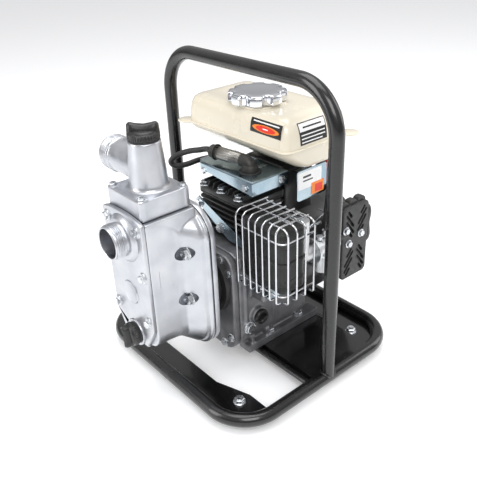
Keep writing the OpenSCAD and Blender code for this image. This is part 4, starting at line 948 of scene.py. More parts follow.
def hand_plugs():
    low, high = box_of("priming_plug")
    x, y = middle((low, high)).x, AXIS_Y
    base = TOWER[1].z + 2
    shape = Shape()
    ribbed_collar(shape, aim((x, y, base), (0, 0, 1)), 20, 8.5, 40)
    crown = [(0, base + 8), (19, base + 8.4), (17.6, base + 10.4), (15, base + 11.6), (0, base + 12)]
    shape.lathe(crown, (x, y, 0), (0, 0, 1))
    wing(shape, aim((x, y, base + 7), (0, 0, 1), -40), 39, 17, high.z - base - 7, 5, 1.04)
    shape.lathe([(0, -13), (14.6, -13), (15.1, -12), (15.1, 0.5), (0, 0.5)], (x, y, base), (0, 0, 1))
    shape.done("priming_cap", "black_plastic", "priming_plug_body", ("priming_plug",), angle=50)
    low, high = box_of("drain_plug")
    base = DRAIN.x - 2
    m = aim((base, AXIS_Y, DRAIN.z), (-1, 0, 0), 100)
    shape = Shape()
    ribbed_collar(shape, m, 16.4, 7.5, 34)
    shape.lathe([(0, 7), (15.4, 7.4), (14, 9.4), (11, 10.4), (0, 10.8)], m=m)
    wing(shape, m @ Matrix.Translation((0, 0, 6)), 33, 15, base - low.x - 6, 3, 1.0)
    shape.lathe([(0, -12), (9.4, -12), (9.9, -11), (9.9, 0.5), (0, 0.5)], m=m)
    shape.done("drain_cap", "black_plastic", "drain_plug_body", ("drain_plug",), angle=50)


hand_plugs()
soften("priming_seal", 0.3, body="priming_seal_body")
soften("drain_seal", 0.3, body="drain_seal_body")
for hidden, edge in (("volute", 0.8), ("pump_bracket", 1.0), ("seal_seat", 0.4)):
    soften(hidden, edge)


# ---------------------------------------------------------------- engine

CASE = box_of("crankcase")
CASE_COVER = box_of("crankcase_cover")
CYLINDER = box_of("cylinder")
HEAD = box_of("cylinder_head")


def crankcase():
    """Cast crankcase with a split line, ribs, the oil filler and feet."""
    low, high = CASE
    side = 58
    bottom = low.z + 12
    mid_z = (bottom + high.z) / 2
    height = high.z - bottom
    near = AXIS_Y - side
    shape = Shape()
    outline = round_rect(2 * side, height, 22, (AXIS_Y, mid_z), 10)
    shape.slab(outline, low.x, high.x, 2, "x")
    # upright ribs and a thick band on both sides
    for x in (low.x + 10, low.x + 38, low.x + 66):
        shape.slab(round_rect(2 * side + 4, height - 40, 16, (AXIS_Y, mid_z - 4), 8), x, x + 4, 1, "x")
    shape.slab(round_rect(2 * side + 5, 16, 5, (AXIS_Y, high.z - 12), 5), low.x + 1, high.x - 1, 1.5, "x")
    # boss of the oil filler and of the drain
    filler = pivot("oil_cap_turn")
    run = [(0, 0), (12.6, 0), (13.4, 1), (13.4, 4), (14.5, 14), (16, 26), (0, 26)]
    shape.lathe(run, filler, (0, 1, 0), 48)
    drain_bolt = middle(box_of("drain_bolt"))
    shape.lathe([(0, -3.5), (9.5, -3.5), (11, 8), (0, 8)], (drain_bolt.x, near, drain_bolt.z), (0, 1, 0), 40)
    # ledge for the muffler's stay
    shape.slab(round_rect(52, 27, 4, (8, near - 13), 5), 126, 138, 1.2)
    # feet with their webs
    for sy in (-1, 1):
        shape.box((low.x + 12, AXIS_Y + sy * 50 - 12, low.z), (high.x + 25, AXIS_Y + sy * 50 + 12, bottom + 1))
        for x in (low.x + 20, low.x + 50):
            shape.box((x, AXIS_Y + sy * 50 - 10, low.z + 8), (x + 6, AXIS_Y + sy * 50 + 10, bottom + 14))
    case = raw(shape, "case_body")
    cast(case, 1.5, 3)
    hole = Shape().lathe([(0, -1), (8, -1), (8, 30), (0, 30)], filler, (0, 1, 0), 40)
    cut(case, hole)
    finish_piece(case, "crankcase_alloy", replaces=("crankcase",), angle=40)
    # round cover on the pump side with its bolts
    low, high = CASE_COVER
    shape = Shape()
    shape.slab(outline, low.x, low.x + 12, 2.2, "x")
    boss = [(0, -5), (40, -5), (44, -3), (46, 0.5), (50, 3), (0, 3)]
    shape.lathe(boss[:1] + [(15.5, -5)] + boss[1:], (low.x + 4, AXIS_Y, CRANK.z), (1, 0, 0), 64)
    lid = raw(shape, "case_lid")
    cast(lid, 1.6, 3)
    cut(lid, Shape().lathe([(0, -20), (16, -20), (16, 40), (0, 40)], (low.x, AXIS_Y, CRANK.z), (1, 0, 0), 48))
    finish_piece(lid, "crankcase_alloy", replaces=("crankcase_cover",), angle=40)
    bolts = Shape()
    for y, z in round_rect(2 * side - 16, height - 16, 16, (AXIS_Y, mid_z), 1):
        bolts.hex_bolt((low.x, y, z), (-1, 0, 0), 6, 4.5, spin=y)
    bolts.done("case_fasteners", "zinc_bolt")


def drain_and_filler():
    bolt = box_of("drain_bolt")
    at = middle(bolt)
    shape = Shape().hex_bolt((at.x, AXIS_Y - 61.5, at.z), (0, -1, 0), 9, 6, spin=10)
    shape.done("oil_drain_bolt", "zinc_bolt", replaces=("drain_bolt",))
    at = pivot("oil_cap_turn")
    shape = Shape()
    cap = [(0, -22), (7.7, -22), (7.7, -1.5), (7.7, -0.2), (12, 0), (12.4, 1), (12.2, 4.8), (11, 6), (8.2, 6)]
    shape.lathe(cap + [(7.4, 4.6), (0, 4.4)], at, (0, -1, 0), 48)
    wing(shape, aim(at + Vector((0, -4, 0)), (0, -1, 0), 20), 15, 5.5, 9, 1, 1.0)
    stick = [(0, 22), (2, 22), (2, 44), (1.4, 46), (0, 46)]
    shape.lathe(stick, at, (0, 1, 0), 20)
    shape.done("dipstick_cap", "black_plastic", "oil_cap_body", ("oil_cap",), angle=45)


# The bore, with room for the facets of the piston
BORE_R = 26.15


def cylinder():
    """Finned barrel and head; the fins are thin plates with round corners."""
    low, high = CYLINDER
    mid = middle(CYLINDER)
    shape = Shape()
    outline = round_rect(high.x - low.x, high.y - low.y, 8, (mid.x, AXIS_Y), 6)
    top = HEAD[0].z
    for i in range(7):
        z = top - 2.5 - 8.5 * i
        shape.slab(outline, z, z + 2.4, 0.6, steps=2)
    shape.slab(round_rect(68, 76, 18, (mid.x, AXIS_Y), 8), low.z, top, 0.5)
    shape.box((mid.x - 30, AXIS_Y - 51.5, low.z + 10), (mid.x + 30, AXIS_Y - 24, top - 4))
    barrel = raw(shape, "barrel")
    piston = middle(box_of("piston"))
    bore = [(0, low.z - 5), (BORE_R, low.z - 5), (BORE_R, top + 5), (0, top + 5)]
    cut(barrel, Shape().lathe(bore, (piston.x, piston.y, 0), (0, 0, 1), 96))
    finish_piece(barrel, "cylinder_black", replaces=("cylinder",), angle=40)
    low, high = HEAD
    shape = Shape()
    shape.slab(round_rect(high.x - low.x, high.y - low.y, 8, (mid.x, AXIS_Y), 6), low.z, low.z + 8, 1.2)
    for i in range(-4, 5):
        fin = [(low.x + 3, low.z + 6), (high.x - 3, low.z + 6), (high.x - 7, high.z), (low.x + 7, high.z)]
        y = AXIS_Y + 11 * i
        shape.slab(fin, y - 1.4, y + 1.4, 0.5, "y", steps=2)
    shape.done("head", "cylinder_black", replaces=("cylinder_head",), angle=40)
    bolts = Shape()
    for sx in (-1, 1):
        for sy in (-1, 0, 1):
            bolts.hex_bolt((mid.x + sx * 31, AXIS_Y + sy * 38 + 5, low.z + 8), (0, 0, 1), 8, 6)
    bolts.done("head_fasteners", "zinc_bolt")


def shroud():
    """Folded sheet cover: level top, aprons on three sides and a cut corner."""
    low, high = SHROUD
    sheet = 1.5
    bend = 3
    spark = middle(PLUG)
    top = [
        (low.x, low.y), (high.x, low.y), (high.x, high.y - 14), (high.x - 12, high.y), (low.x + 9, high.y),
        (low.x, high.y - 12),
    ]
    rims = shrink(top, bend)
    shape = Shape()
    rings = []
    for k in range(6):
        a = math.radians(90 * k / 5)
        rings.append([(*p, high.z - bend * (1 - math.cos(a))) for p in shrink(top, bend * (1 - math.sin(a)))])
    drop = [(p[0], p[1], low.z + (9 if p[1] > high.y - 15 else 0)) for p in top]
    rings.append(drop)
    rings.append([(p[0], p[1], q[2]) for p, q in zip(shrink(top, sheet), drop)])
    inner = []
    for k in range(6):
        a = math.radians(90 - 90 * k / 5)
        reach = sheet + (bend - sheet) * (1 - math.sin(a))
        inner.append([(*p, high.z - sheet - (bend - sheet) * (1 - math.cos(a))) for p in shrink(top, reach)])
    shape.loft(rings + inner)
    cover = raw(shape, "shroud_sheet")
    cut(cover, Shape().lathe([(0, -9), (13, -9), (13, 9), (0, 9)], (spark.x, spark.y, high.z), (0, 0, 1), 48))
    finish_piece(cover, "blue_zinc", replaces=("shroud",), angle=28)
    gasket = [(9.6, -3), (12.8, -3), (12.8, -0.3), (15.8, 0), (16.2, 0.6), (15.6, 1.4), (10.5, 1.8), (9.6, 1.2)]
    ring_shape = Shape().lathe(gasket, (spark.x, spark.y, high.z), (0, 0, 1), closed=True)
    ring_shape.done("plug_grommet", "gasket")
    tab = Shape()
    tab.slab(round_rect(17, 8, 2, (high.x - 16, -24), 4), high.z - 0.2, high.z + 0.9, 0.3)
    tab.done("shroud_tab", "zinc_bolt")
    bolts = Shape()
    for y in (low.y + 14, high.y - 20):
        bolts.hex_bolt((low.x, y, low.z + 8), (-1, 0, 0), 5, 3.6)
    bolts.hex_bolt((high.x - 12, low.y, low.z + 9), (0, -1, 0), 5, 3.6)
    bolts.done("shroud_fasteners", "zinc_bolt")


def strap():
    soften("strap_bracket", 0.5)
    at = box_of("strap_bracket")
    bolts = Shape()
    for y, z in ((44, 243), (-4, 219)):
        bolts.hex_bolt((at[0].x, y, z), (-1, 0, 0), 7, 5, spin=y)
    bolts.done("strap_fasteners", "zinc_bolt")


BOOT_Z = SHROUD[1].z + 14
BOOT_HEADING = math.radians(100)


def spark_plug_and_lead():
    """Plug, elbow boot with its ribbed metal sleeve, and the thick lead."""
    spark = middle(PLUG)
    base = PLUG[0].z
    shape = Shape()
    body = [(0, base), (6.9, base), (6.9, base + 5), (8, base + 5.5), (8, base + 7), (0, base + 7)]
    shape.lathe(body, (spark.x, spark.y, 0), (0, 0, 1), 32)
    shape.prism(ring(11.4, 6), base + 6.5, base + 14, m=Matrix.Translation((spark.x, spark.y, 0)))
    neck = [(0, base + 13), (7, base + 13), (6.6, base + 16), (5.4, base + 18), (5.4, PLUG[1].z), (0, PLUG[1].z)]
    shape.lathe(neck, (spark.x, spark.y, 0), (0, 0, 1), 32)
    shape.done("plug_body", "plug_steel", replaces=("spark_plug",), bevel=0.2)

    ahead = Vector((math.cos(BOOT_HEADING), math.sin(BOOT_HEADING), 0.03)).normalized()
    foot = Vector((spark.x, spark.y, SHROUD[1].z - 4))
    elbow = Vector((spark.x, spark.y, BOOT_Z))
    path = round_corners([foot, elbow, elbow + ahead * 74], 9, 12, closed=False)
    path = [path[0]] + [path[0].lerp(path[1], t) for t in (0.25, 0.5, 0.75)] + path[1:-1] + [
        path[-2].lerp(path[-1], t) for t in (0.02, 0.1, 0.16, 0.86, 0.9, 0.93, 0.96, 1)
    ]
    radii = [10.6, 10.8, 9.6, 9.2] + [9.4] * (len(path) - 12) + [9.2, 9.2, 8.4, 8.4, 9.6, 9.6, 7.2, 5.6]
    boot = Shape().tube(path, radii, 40)
    boot.done("boot", "boot_rubber", replaces=("plug_cap",), angle=55)
    # metal sleeve round the arm, with long ribs
    sleeve = Shape()
    arm = elbow + ahead * 14
    m = aim(arm, ahead)
    around = 96
    rings = []
    for h, grow in ((0, -0.5), (0.5, 0), (46, 0), (46.5, -0.5)):
        rings.append([
            ((9.0 + grow + 0.45 * abs(math.cos(7 * math.radians(360 * k / around)))) * c,
             (9.0 + grow + 0.45 * abs(math.cos(7 * math.radians(360 * k / around)))) * s, h)
            for k, (c, s) in enumerate(ring(1, around))
        ])
    sleeve.loft(rings, m)
    sleeve.done("boot_sleeve", "sleeve_metal", angle=50)
    collar = Shape()
    collar.lathe([(9.4, -1.2), (11.6, -1), (11.8, 0), (11.6, 1), (9.4, 1.2)], elbow + ahead * 61, ahead, closed=True)
    skirt = [(9.5, -9), (12.4, -9), (12.8, -7.6), (11.6, -4), (10.6, 0), (9.5, 1)]
    collar.lathe(skirt, (spark.x, spark.y, SHROUD[1].z + 10), (0, 0, 1), closed=True)
    collar.done("boot_collars", "boot_rubber", angle=50)

    end = elbow + ahead * 70
    points = [
        end, end + ahead * 10, (-3, 62, 316), (-11, 75, 313), (-20, 87, 308), (-28, 94, 302), (-31, 97, 296),
        (-28, 95, 290), (-20, 91, 288), (-8, 88, 288), (8, 85, 290), (24, 83, 290), (38, 81, 289), (47, 80, 287),
    ]
    lead = Shape().tube(smooth_path(points, 8), 4.2, 20)
    lead.done("lead", "lead_rubber", replaces=("ignition_lead",))
    soften("ignition_coil", 1.2)


def metal_sleeve_look():
    made = Look("sleeve_metal", (0.3, 0.29, 0.27), 1, 0.32).worn(120, 0.24, 0.44).bump(400, 0.04)
    LOOKS["sleeve_metal"] = made.mat


metal_sleeve_look()
crankcase()
drain_and_filler()
cylinder()
shroud()
strap()
spark_plug_and_lead()


# ---------------------------------------------------------------- muffler and its cage


def muffler_box():
    """Two pressed half shells with a rolled seam, and the neck."""
    low, high = MUFFLER
    g = 9
    x0, x1 = GUARD[0].x + g + 1.5, GUARD[1].x - g
    y0, y1 = GUARD[0].y + g + 1.5, high.y - 12
    port = 236
    back = -64
    z0, z1 = GUARD[0].z + g, GUARD[1].z - 13
    mid = ((x0 + x1) / 2, (y0 + back) / 2)
    shape = Shape()
    w, d = x1 - x0, back - y0
    outline = round_rect(w, d, 9, mid, 8)
    shape.slab(outline, z0, z1, 6, steps=6)
    shape.slab(round_rect(w + 3, d + 3, 10, mid, 8), (z0 + z1) / 2 - 2, (z0 + z1) / 2 + 2, 0.8)
    # pressed swages across the near face
    for z in (z0 + 18, z1 - 18):
        shape.slab(round_rect(w + 1.6, d + 1.6, 9.4, mid, 8), z - 4, z + 4, 1.8)
    neck = [(0, -6), (11, -6), (11, 4), (15, 5), (15, high.y - back)]
    exhaust = -2
    shape.lathe(neck + [(0, high.y - back)], (exhaust, back, port), (0, 1, 0), 40)
    # outlet stub towards +X
    shape.lathe([(7, 0), (8.2, 0), (8.2, 12), (7, 12)], (x1 - 2, mid[1], z0 + 22), (1, 0, 0), 32, closed=True)
    shape.done("muffler_shell", "muffler_black", replaces=("muffler",), angle=38)
    # zinc stay below the cage: a foot on the crankcase ledge and an upright to the box
    stays = Shape()
    bolts = Shape()
    z = 138
    foot_y = AXIS_Y - 58.3
    front_y = foot_y - 37.7
    sheet = [(foot_y, z), (front_y, z), (front_y, z0 + 1), (front_y + 2.6, z0 + 1), (front_y + 2.6, z + 2.6)]
    stays.slab(sheet + [(foot_y, z + 2.6)], -16, 10, 0.6, "x", steps=2)
    stays.slab(round_rect(50, foot_y - front_y - 1, 3, (7.8, (foot_y + front_y) / 2), 5), z + 0.2, z + 2.9, 0.5)
    for x in (-7, 23):
        bolts.hex_bolt((x, -78, z + 2.8), (0, 0, 1), 7, 5.5, spin=x)
        bolts.hex_bolt((x, -78, z - 12), (0, 0, -1), 7, 4, spin=x)
    bolts.hex_bolt((-3, front_y, z + 20), (0, -1, 0), 6, 4.5, spin=20)
    stays.done("muffler_stays", "blue_zinc", angle=30)
    bolts.done("muffler_fasteners", "zinc_bolt")


def cage():
    """Wire guard: uprights bent over the top, two level hoops with round corners, curled feet."""
    low, high = GUARD
    r = 1.3
    bend = 10
    x0, y0 = low.x + r, low.y + r
    x1, y1 = high.x - r, high.y - r
    top = high.z - r
    foot = low.z + r
    shape = Shape()

    def wire(points, corner):
        shape.tube(round_corners(points, corner, 8, closed=False), r, 12)

    ys = [y0 + 11 + i * (y1 - y0 - 11) / 6 for i in range(7)]
    for i, y in enumerate(ys):
        reach = x1 - 4 - 3 * (i % 2)
        wire([(x0 + 7, y, foot), (x0, y, foot), (x0, y, top), (reach, y, top)], [0, 3.2, bend, 0])
    xs = [x0 + 11 + i * (x1 - x0 - 14) / 3 for i in range(4)]
    for x in xs:
        wire([(x, y0 + 7, foot), (x, y0, foot), (x, y0, top - 3.2), (x, y0 + 34, top - 3.2)], [0, 3.2, bend, 0])
    for z in (foot + 12, top - 22):
        inset = 2.6
        wire([(x0 + inset, y1, z), (x0 + inset, y0 + inset, z), (x1, y0 + inset, z)], [0, bend, 0])
    for x in (x0 + 30, x1 - 8):
        wire([(x, y0 + 12, top - 2.8), (x, y1, top - 2.8)], [0, 0])
    shape.done("cage_wires", "guard_wire", replaces=("muffler_guard",), angle=60)


muffler_box()
cage()


# ---------------------------------------------------------------- fan housing and starter


def fan_shell():
    """Pressed fan housing: a drum with soft rims and the duct up to the head."""
    low, high = HOUSING
    radius = (high.y - low.y) / 2
    shape = Shape()
    x0, x1 = low.x, high.x
    drum = [(30, 0), (radius - 14, 0), (radius - 6, 1.6), (radius - 1.5, 5), (radius, 11), (radius, x1 - x0)]
    inside = [(radius - 2.4, x1 - x0), (radius - 2.4, 12), (radius - 16, 3), (30, 3)]
    shape.lathe(drum + inside, (x0, AXIS_Y, CRANK.z), (1, 0, 0), 96, closed=True)
    duct = round_rect(92, high.z - CRANK.z - 10, 14, (AXIS_Y, (high.z + CRANK.z + 10) / 2), 8)
    shape.slab(duct, x0, x0 + 58, 5, "x", steps=4)
    shape.done("housing_shell", "shell_black", replaces=("fan_housing",), angle=40)


def recoil_shell():
    """Recoil cover: a drum with a domed face, radial vents and the rope guide."""
    low, high = RECOIL
    shape = Shape()
    depth = high.x - low.x
    flange = (high.y - low.y) / 2
    radius = 76
    outside = [(radius + 2, 4), (radius, 8), (radius, depth - 12), (radius - 2, depth - 6), (radius - 7, depth - 2)]
    inside = [(radius - 10, depth - 4), (radius - 2.6, depth - 13), (radius - 2.6, 0)]
    profile = [(radius - 2.6, 0), (flange, 0), (flange, 3), (flange - 1, 4)] + outside
    face = [(60, depth - 0.4), (30, depth), (1, depth), (1, depth - 2.5), (60, depth - 3)]
    shape.lathe(profile + face + inside[:2], (low.x, AXIS_Y, CRANK.z), (1, 0, 0), 120, closed=True)
    cover = raw(shape, "recoil_shell")
    vents = []
    for k in range(18):
        turn = Matrix.Translation((high.x - 6, AXIS_Y, CRANK.z)) @ Matrix.Rotation(math.radians(20 * k), 4, "X")
        vents.append(Shape().prism(round_rect(6, 26, 2.9, (0, 47), 5), -6, 12, "x", turn))
    guide_z = CRANK.z + 34
    vents.append(Shape().lathe([(0, 0), (4.6, 0), (4.6, 30), (0, 30)], (193, AXIS_Y - radius - 6, guide_z), (0, 1, 0), 32))
    cut(cover, *vents)
    finish_piece(cover, "shell_black", replaces=("recoil_cover",), angle=38)
    hub = Shape().lathe([(0, 0), (20, 0), (22, 1), (22, 2.4), (20, 3.4), (0, 3.8)], (high.x - 3.8, AXIS_Y, CRANK.z), (1, 0, 0))
    hub.done("recoil_hub", "shell_black")
    bolts = Shape()
    for k in range(4):
        a = math.radians(45 + 90 * k)
        at = (low.x + 4, AXIS_Y + 82 * math.cos(a), CRANK.z + 82 * math.sin(a))
        bolts.hex_bolt(at, (1, 0, 0), 6, 4.5, spin=20 * k)
    bolts.done("recoil_fasteners", "zinc_bolt")
    eye = [(4.7, 0), (7.2, 0), (7.4, 1.4), (6.4, 2.8), (5.2, 3), (4.7, 2)]
    Shape().lathe(eye, (193, AXIS_Y - radius - 0.4, guide_z), (0, -1, 0), 36, closed=True).done(
        "rope_eye", "zinc_bolt"
    )


def starter_grip():
    low, high = box_of("starter_grip")
    mid = middle((low, high))
    y = low.y + 10
    shape = Shape()
    rings = []
    for k in range(25):
        t = -1 + 2 * k / 24
        reach = math.sqrt(max(0.004, 1 - abs(t) ** 6))
        waist = 1 - 0.12 * math.cos(math.pi * t * 1.5) * (1 - t * t)
        rings.append([
            (mid.x + 9.2 * reach * waist * c, y + 8.2 * reach * waist * s, mid.z + t * (high.z - low.z) / 2 * 0.99)
            for c, s in ring(1, 32)
        ])
    shape.loft(rings)
    stem = [(0, 0), (7, 0), (7.6, 3), (6, 8), (4.4, high.y - y), (0, high.y - y)]
    shape.lathe(stem, (mid.x, y, mid.z), (0, 1, 0), 32)
    shape.done("grip", "black_plastic", "grip_body", ("starter_grip",), angle=50)
    rope = Shape()
    far = RECOIL[0].y + 14
    path = [(mid.x, y + 4 + (far - y - 4) * k / 60, mid.z) for k in range(61)]
    rope.tube(path, [1.8 + 0.12 * math.sin(2.1 * k) for k in range(61)], 12)
    cord = rope.done("starter_rope", "rope", body=None)
    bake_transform(cord)


LOOKS["rope"] = Look("rope", (0.09, 0.085, 0.08), 0, 0.7).worn(400, 0.6, 0.8).bump(1500, 0.12).mat
fan_shell()
recoil_shell()
starter_grip()
for inner, width, body in (
    ("starter_reel", 0.4, "reel_body"), ("starter_cup", 0.4, "crank"), ("flywheel", 0.5, "crank"),
    ("crankshaft", 0.4, "crank"), ("impeller", 0.6, "crank"), ("seal_ring", 0.3, "crank"),
    ("piston", 0.4, "piston_body"), ("inlet_flap", 0.4, "flap_body"), ("crank_bearings", 0.4, "root"),
):
    soften(inner, width, body=body)
# ---------------------------------------------------------------- fuel tank, tap and labels

SEAM_Z = 341
TANK_SIDES = (25, 149, -91, 127)

# Insets of the -X, +X, -Y and +Y sides at each height, with the corner radius
UPPER_SHELL = [
    (341, (0, 0, 0, 0), 15), (346, (0.2, 0.1, 0.3, 0.2), 15), (354, (0.9, 0.2, 1.4, 0.6), 14.8),
    (362, (1.8, 0.5, 3, 1.2), 14.6), (369, (3, 1.2, 5.4, 2.2), 14.2), (373.6, (4.6, 2.4, 7.8, 3.6), 13.8),
    (377.4, (6.8, 4.6, 10.6, 5.8), 13.2), (380.2, (9.8, 7.6, 14, 9), 12.8), (382, (13.6, 11.4, 18.4, 13.2), 12.2),
    (382.8, (18, 16, 23, 18), 11.6), (383, (26, 24, 31, 28), 10),
]
LOWER_SHELL = [
    (341, (0, 0, 0, 0), 15), (336, (1, 0.6, 0.4, 0.8), 15), (330, (6, 2, 1, 4), 15.6),
    (322, (16, 4, 2, 11), 16.4), (315, (27, 7, 3, 20), 17), (310.5, (34, 9, 4.6, 27), 16.6),
    (308.6, (38, 11, 7, 31), 16), (308, (44, 16, 13, 37), 13),
]


def tank_ring(insets, radius, steps=10):
    x0, x1, y0, y1 = TANK_SIDES
    a, b, c, d = insets
    w, h = x1 - b - x0 - a, y1 - d - y0 - c
    return round_rect(w, h, radius, ((x0 + a + x1 - b) / 2, (y0 + c + y1 - d) / 2), steps)


def between(rows, z, k):
    """One side's inset at a height of the upper shell."""
    for (z0, low, _), (z1, high, _) in zip(rows, rows[1:]):
        if z0 <= z <= z1:
            return low[k] + (high[k] - low[k]) * (z - z0) / (z1 - z0)
    return rows[-1][1][k]


def fuel_tank():
    """Two pressed shells, the rolled seam with its ears, and the filler neck."""
    shape = Shape()
    for rows in (UPPER_SHELL, LOWER_SHELL[::-1]):
        shape.loft([[(*p, z) for p in tank_ring(insets, radius)] for z, insets, radius in rows])
    x0, x1, y0, y1 = TANK_SIDES
    mid = ((x0 + x1) / 2, (y0 + y1) / 2)
    rim = round_rect(x1 - x0 + 6, y1 - y0 + 6, 17, mid, 12)
    shape.slab(rim, SEAM_Z - 1.5, SEAM_Z + 1.5, 1.1, steps=4)
    for s in (-1, 1):
        m = Matrix.Translation((mid[0] + s * 56, mid[1] - s * 103, SEAM_Z)) @ Matrix.Rotation(math.radians(45), 4, "Z")
        ear = round_rect(26, 44, 12, steps=8)
        shape.slab(ear, -1.3, 1.3, 0.9, m=m)
    neck = fuel_neck()
    shape.slab(round_rect(66, 76, 22, (neck.x + 2, neck.y), 8), 381, 385, 1.8)
    throat = [(0, 383), (27, 383), (26, 386), (23, 387.4), (22, 389), (22, 391), (19.5, 391), (19, 388), (0, 388)]
    shape.lathe(throat, (neck.x, neck.y, 0), (0, 0, 1))
    for y in (-27, 33):
        shape.box((89, y - 6.8, 301), (115, y + 6.8, 309))
    shape.done("tank_shells", "tank_cream", replaces=("fuel_tank",), angle=42)
    pads = Shape()
    for y in (-27, 33):
        pads.slab(round_rect(30, 17, 4, (102, y), 5), 301, 303.5, 0.8)
    pads.done("tank_pads", "rubber")


def fuel_neck():
    return pivot("fuel_cap_turn")


def fuel_cap():
    """Plated screw cap with eight finger scallops and a soft crown."""
    at = fuel_neck()
    radius = 42

    def outline(inset):
        points = []
        steps = 192
        for k in range(steps):
            a = 360 * k / steps
            phase = (a % 45 - 22.5) / 22.5
            dip = 7 * max(0, 1 - (phase / 0.5) ** 2) ** 0.7
            r = radius - dip * max(0, 1 - inset / 14) - inset
            points.append((r * math.cos(math.radians(a)), r * math.sin(math.radians(a))))
        return points

    rows = [(0, 1.6), (0.8, 0.4), (2, 0), (11, 0), (13, 0.7), (14.2, 2.4), (14.8, 5), (15, 9), (14.7, 20), (14.5, 34)]
    shape = Shape()
    m = Matrix.Translation(at)
    shape.loft([[(*p, z) for p in outline(inset)] for z, inset in rows], m)
    shape.done("cap", "chrome", "fuel_cap_body", ("fuel_cap",), angle=60)


def patch(face, across, heights, slot, name, lift=0.25, lozenge=False):
    """A thin label laid on the tank: face is -X or -Y, across and heights give its edges."""
    shape = Shape()
    columns, rows = 24, 10
    x0, _, y0, _ = TANK_SIDES
    grid = []
    for j in range(rows + 1):
        z = heights[0] + (heights[1] - heights[0]) * j / rows
        half = (across[1] - across[0]) / 2
        mid = (across[1] + across[0]) / 2
        if lozenge:
            t = -1 + 2 * j / rows
            half *= math.sqrt(max(0.02, 1 - t * t))
        line = []
        for i in range(columns + 1):
            u = mid + half * (-1 + 2 * i / columns)
            if face == "x":
                line.append((x0 + between(UPPER_SHELL, z, 0), u, z))
            else:
                line.append((u, y0 + between(UPPER_SHELL, z, 2), z))
        grid.append(line)
    out = Vector((-1, 0, 0.12)) if face == "x" else Vector((0, -1, 0.1))
    layers = []
    for level in (-0.2, lift):
        layers.append([[shape.bm.verts.new(Vector(p) + out * level) for p in line] for line in grid])
    low, high = layers
    quads = []
    for j in range(rows):
        for i in range(columns):
            quads.append((high[j][i], high[j][i + 1], high[j + 1][i + 1], high[j + 1][i]))
            quads.append((low[j][i], low[j + 1][i], low[j + 1][i + 1], low[j][i + 1]))
    for j in range(rows):
        quads.append((low[j][0], high[j][0], high[j + 1][0], low[j + 1][0]))
        quads.append((low[j][-1], low[j + 1][-1], high[j + 1][-1], high[j][-1]))
    for i in range(columns):
        quads.append((low[0][i], low[0][i + 1], high[0][i + 1], high[0][i]))
        quads.append((low[-1][i], high[-1][i], high[-1][i + 1], low[-1][i + 1]))
    for quad in quads:
        shape.bm.faces.new(quad)
    return shape.done(name, slot, angle=50)


def label_looks():
    for name, colour in (
        ("label_black", grey(0.012)), ("label_white", grey(0.86)), ("label_red", (0.75, 0.035, 0.015)),
        ("label_orange", (0.85, 0.24, 0.03)),
    ):
        made = Look(name, colour, 0, 0.3).worn(60, 0.24, 0.36).bump(300, 0.01)
        LOOKS[name] = made.mat


def labels():
    """Plain panels and bars where the real pump has its badge and its notices."""
    patch("x", (-79, -19), (357.5, 376), "label_black", "badge_ground", 0.2)
    patch("x", (-75, -23), (360, 370), "label_orange", "badge_edge", 0.3, True)
    patch("x", (-68, -30), (361, 369), "label_red", "badge_middle", 0.4, True)
    patch("x", (-74, -24), (372.2, 373.8), "label_white", "badge_line", 0.3)
    patch("x", (-54, -44), (364.4, 365.8), "label_white", "badge_mark", 0.5)
    patch("y", (52, 103), (346, 375), "label_black", "notice_ground", 0.2)
    patch("y", (53.5, 101.5), (363.5, 373.8), "label_white", "notice_head", 0.3)
    patch("y", (60, 95), (367.5, 369.5), "label_black", "notice_title", 0.4)
    for k in range(3):
        z = 348.5 + 4.8 * k
        patch("y", (55, 100 - 6 * (k == 0)), (z, z + 1.5), "label_white", f"notice_line_{k}", 0.3)


def control_plate():
    """Upright plate by the carburettor, with a pale notice and a warm one."""
    y = -80
    shape = Shape()
    shape.slab(round_rect(60, 46, 5, (87, 281), 6), y, y + 1.6, 0.5, "y")
    shape.box((70, y + 1, 296), (90, -60, 297.4))
    shape.done("control_plate", "blue_zinc", angle=35)
    for name, slot, w, h, centre, lift in (
        ("plate_notice", "label_white", 47, 26, (82, 288), 0.3),
        ("plate_warm", "label_orange", 26, 18, (98, 271), 0.45),
        ("plate_mark", "label_red", 15, 12, (100, 270), 0.6),
        ("plate_dark", "label_black", 16, 3, (76, 293), 0.5),
        ("plate_dark_two", "label_black", 20, 2, (78, 287), 0.5),
    ):
        Shape().slab(round_rect(w, h, 1, centre, 4), y - lift, y, 0.05, "y", steps=1).done(name, slot)


def fuel_line():
    at = box_of("fuel_tap")
    x, y = 123, -60
    path = [(x, y, at[0].z + 6), (x, y, at[0].z - 8), (x - 4, y - 22, 262), (x - 22, y - 36, 232), (92, -107, 208)]
    shape = Shape().tube(smooth_path(path, 8), 4, 16)
    shape.done("fuel_hose", "rubber", angle=60)
    clips = Shape()
    clips.lathe([(4, -2.4), (5, -2.4), (5, 2.4), (4, 2.4)], (x, y, at[0].z + 1), (0, 0, 1), 28, closed=True)
    clips.done("hose_clip", "zinc_bolt")


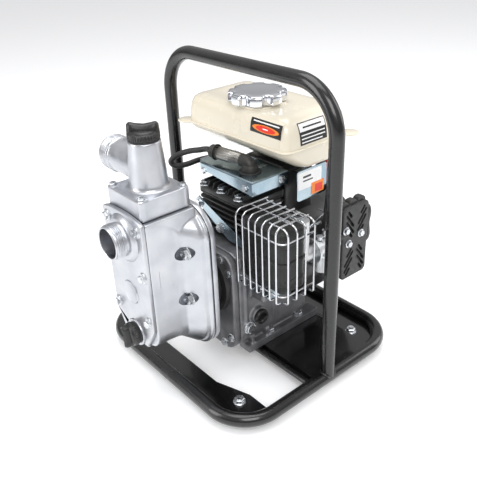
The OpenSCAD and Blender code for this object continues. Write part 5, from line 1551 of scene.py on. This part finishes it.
def carburettor():
    soften("carburettor", 0.9)
    soften("fuel_tap", 0.8)
    soften("tap_lever", 0.8, body="tap_body")
    soften("throttle_lever", 0.5, body="throttle_body")
    soften("choke_lever", 0.6, body="choke_body")
    low, high = box_of("carburettor")
    bowl = Shape()
    bowl.hex_bolt((83, -107, 152.3), (0, 0, -1), 8, 6)
    for x in (75, 91):
        bowl.hex_bolt((x, -107 - 10, 178), (0, 0, 1), 4, 2.6, flange=False)
    bowl.done("bowl_nut", "zinc_bolt")
    rods = Shape()
    rods.tube(round_corners([(46, -100, 222), (60, -98, 222), (112, -84, 226), (112, -70, 226)], 4, 5, closed=False), 0.9, 10)
    coil = []
    for k in range(12 * 18 + 1):
        a = math.radians(20 * k)
        coil.append((56 + 0.18 * k, -92 + 2.4 * math.cos(a), 219 + 2.4 * math.sin(a)))
    rods.tube(coil, 0.45, 8)
    rods.done("governor_rods", "zinc_bolt", angle=60)


def air_cleaner():
    """Textured box with a scalloped top, and a grille face with slanted slots."""
    low, high = CLEANER
    mid = middle(CLEANER)
    w, h = high.x - 120, high.z - low.z
    x0, x1 = 120, high.x
    centre = ((x0 + x1) / 2, mid.z)
    w = x1 - x0
    face = round_rect(w, h - 6, 8, (centre[0], centre[1] - 3), 8)
    body = Shape()
    body.slab(face, low.y + 5.4, high.y, 2.4, "y", steps=4)
    for k in range(3):
        x = x0 + 10 + k * (w - 20) / 2
        body.slab(round_rect(18, 16, 7.6, (x, high.z - 8.2), 6), low.y + 6, high.y - 1, 2, "y", steps=4)
    for x in (x0 + 3, x1 - 3):
        for z in (low.z + 30, low.z + 60):
            body.slab(round_rect(7, 14, 3, (x, z), 5), low.y + 8, high.y - 3, 1, "y")
    neck = [(4.5, 0), (6.5, 0), (6.5, 16), (4.5, 16)]
    body.lathe(neck, (107.4, -107, 190), (1, 0, 0), 40, closed=True)
    body.done("cleaner_box", "cleaner_plastic", replaces=("air_cleaner",), angle=38)

    cover_low, cover_high = box_of("cleaner_cover")
    plate = Shape()
    plate.slab(face, low.y - 0, low.y + 6, 2.2, "y", steps=5)
    grille = raw(plate, "cleaner_face")
    tools = []
    for sx in (-1, 1):
        for sz in (-1, 1):
            for k, length in enumerate((17, 30, 29, 15)):
                at = Matrix.Translation((centre[0] + sx * (12.5 + 0.6 * k), low.y, centre[1] - 3 + sz * (16 + 11 * k)))
                turn = Matrix.Rotation(math.radians(-sx * sz * 52), 4, "Y")
                slot = round_rect(length, 4.8, 2.35, steps=4)
                tools.append(Shape().prism(slot, -3, 4.6, "y", at @ turn))
    cut(grille, *tools)
    finish_piece(grille, "cleaner_plastic", replaces=("cleaner_cover",), angle=38)
    bolts = Shape()
    for x, z in ((160, 185), (133, 176), (126, 200)):
        bolts.lathe([(0, -0.2), (6.4, -0.2), (6.4, 0.9), (5.6, 1.3), (0, 1.3)], (x, low.y, z), (0, -1, 0), 36)
        bolts.hex_bolt((x, low.y - 1, z), (0, -1, 0), 5.4, 4, spin=x, flange=False)
    bolts.done("cleaner_fasteners", "zinc_bolt")


def bracket_fasteners():
    soften("bracket_bolts", 0.3)


label_looks()
fuel_tank()
fuel_cap()
labels()
control_plate()
fuel_line()
carburettor()
air_cleaner()
bracket_fasteners()
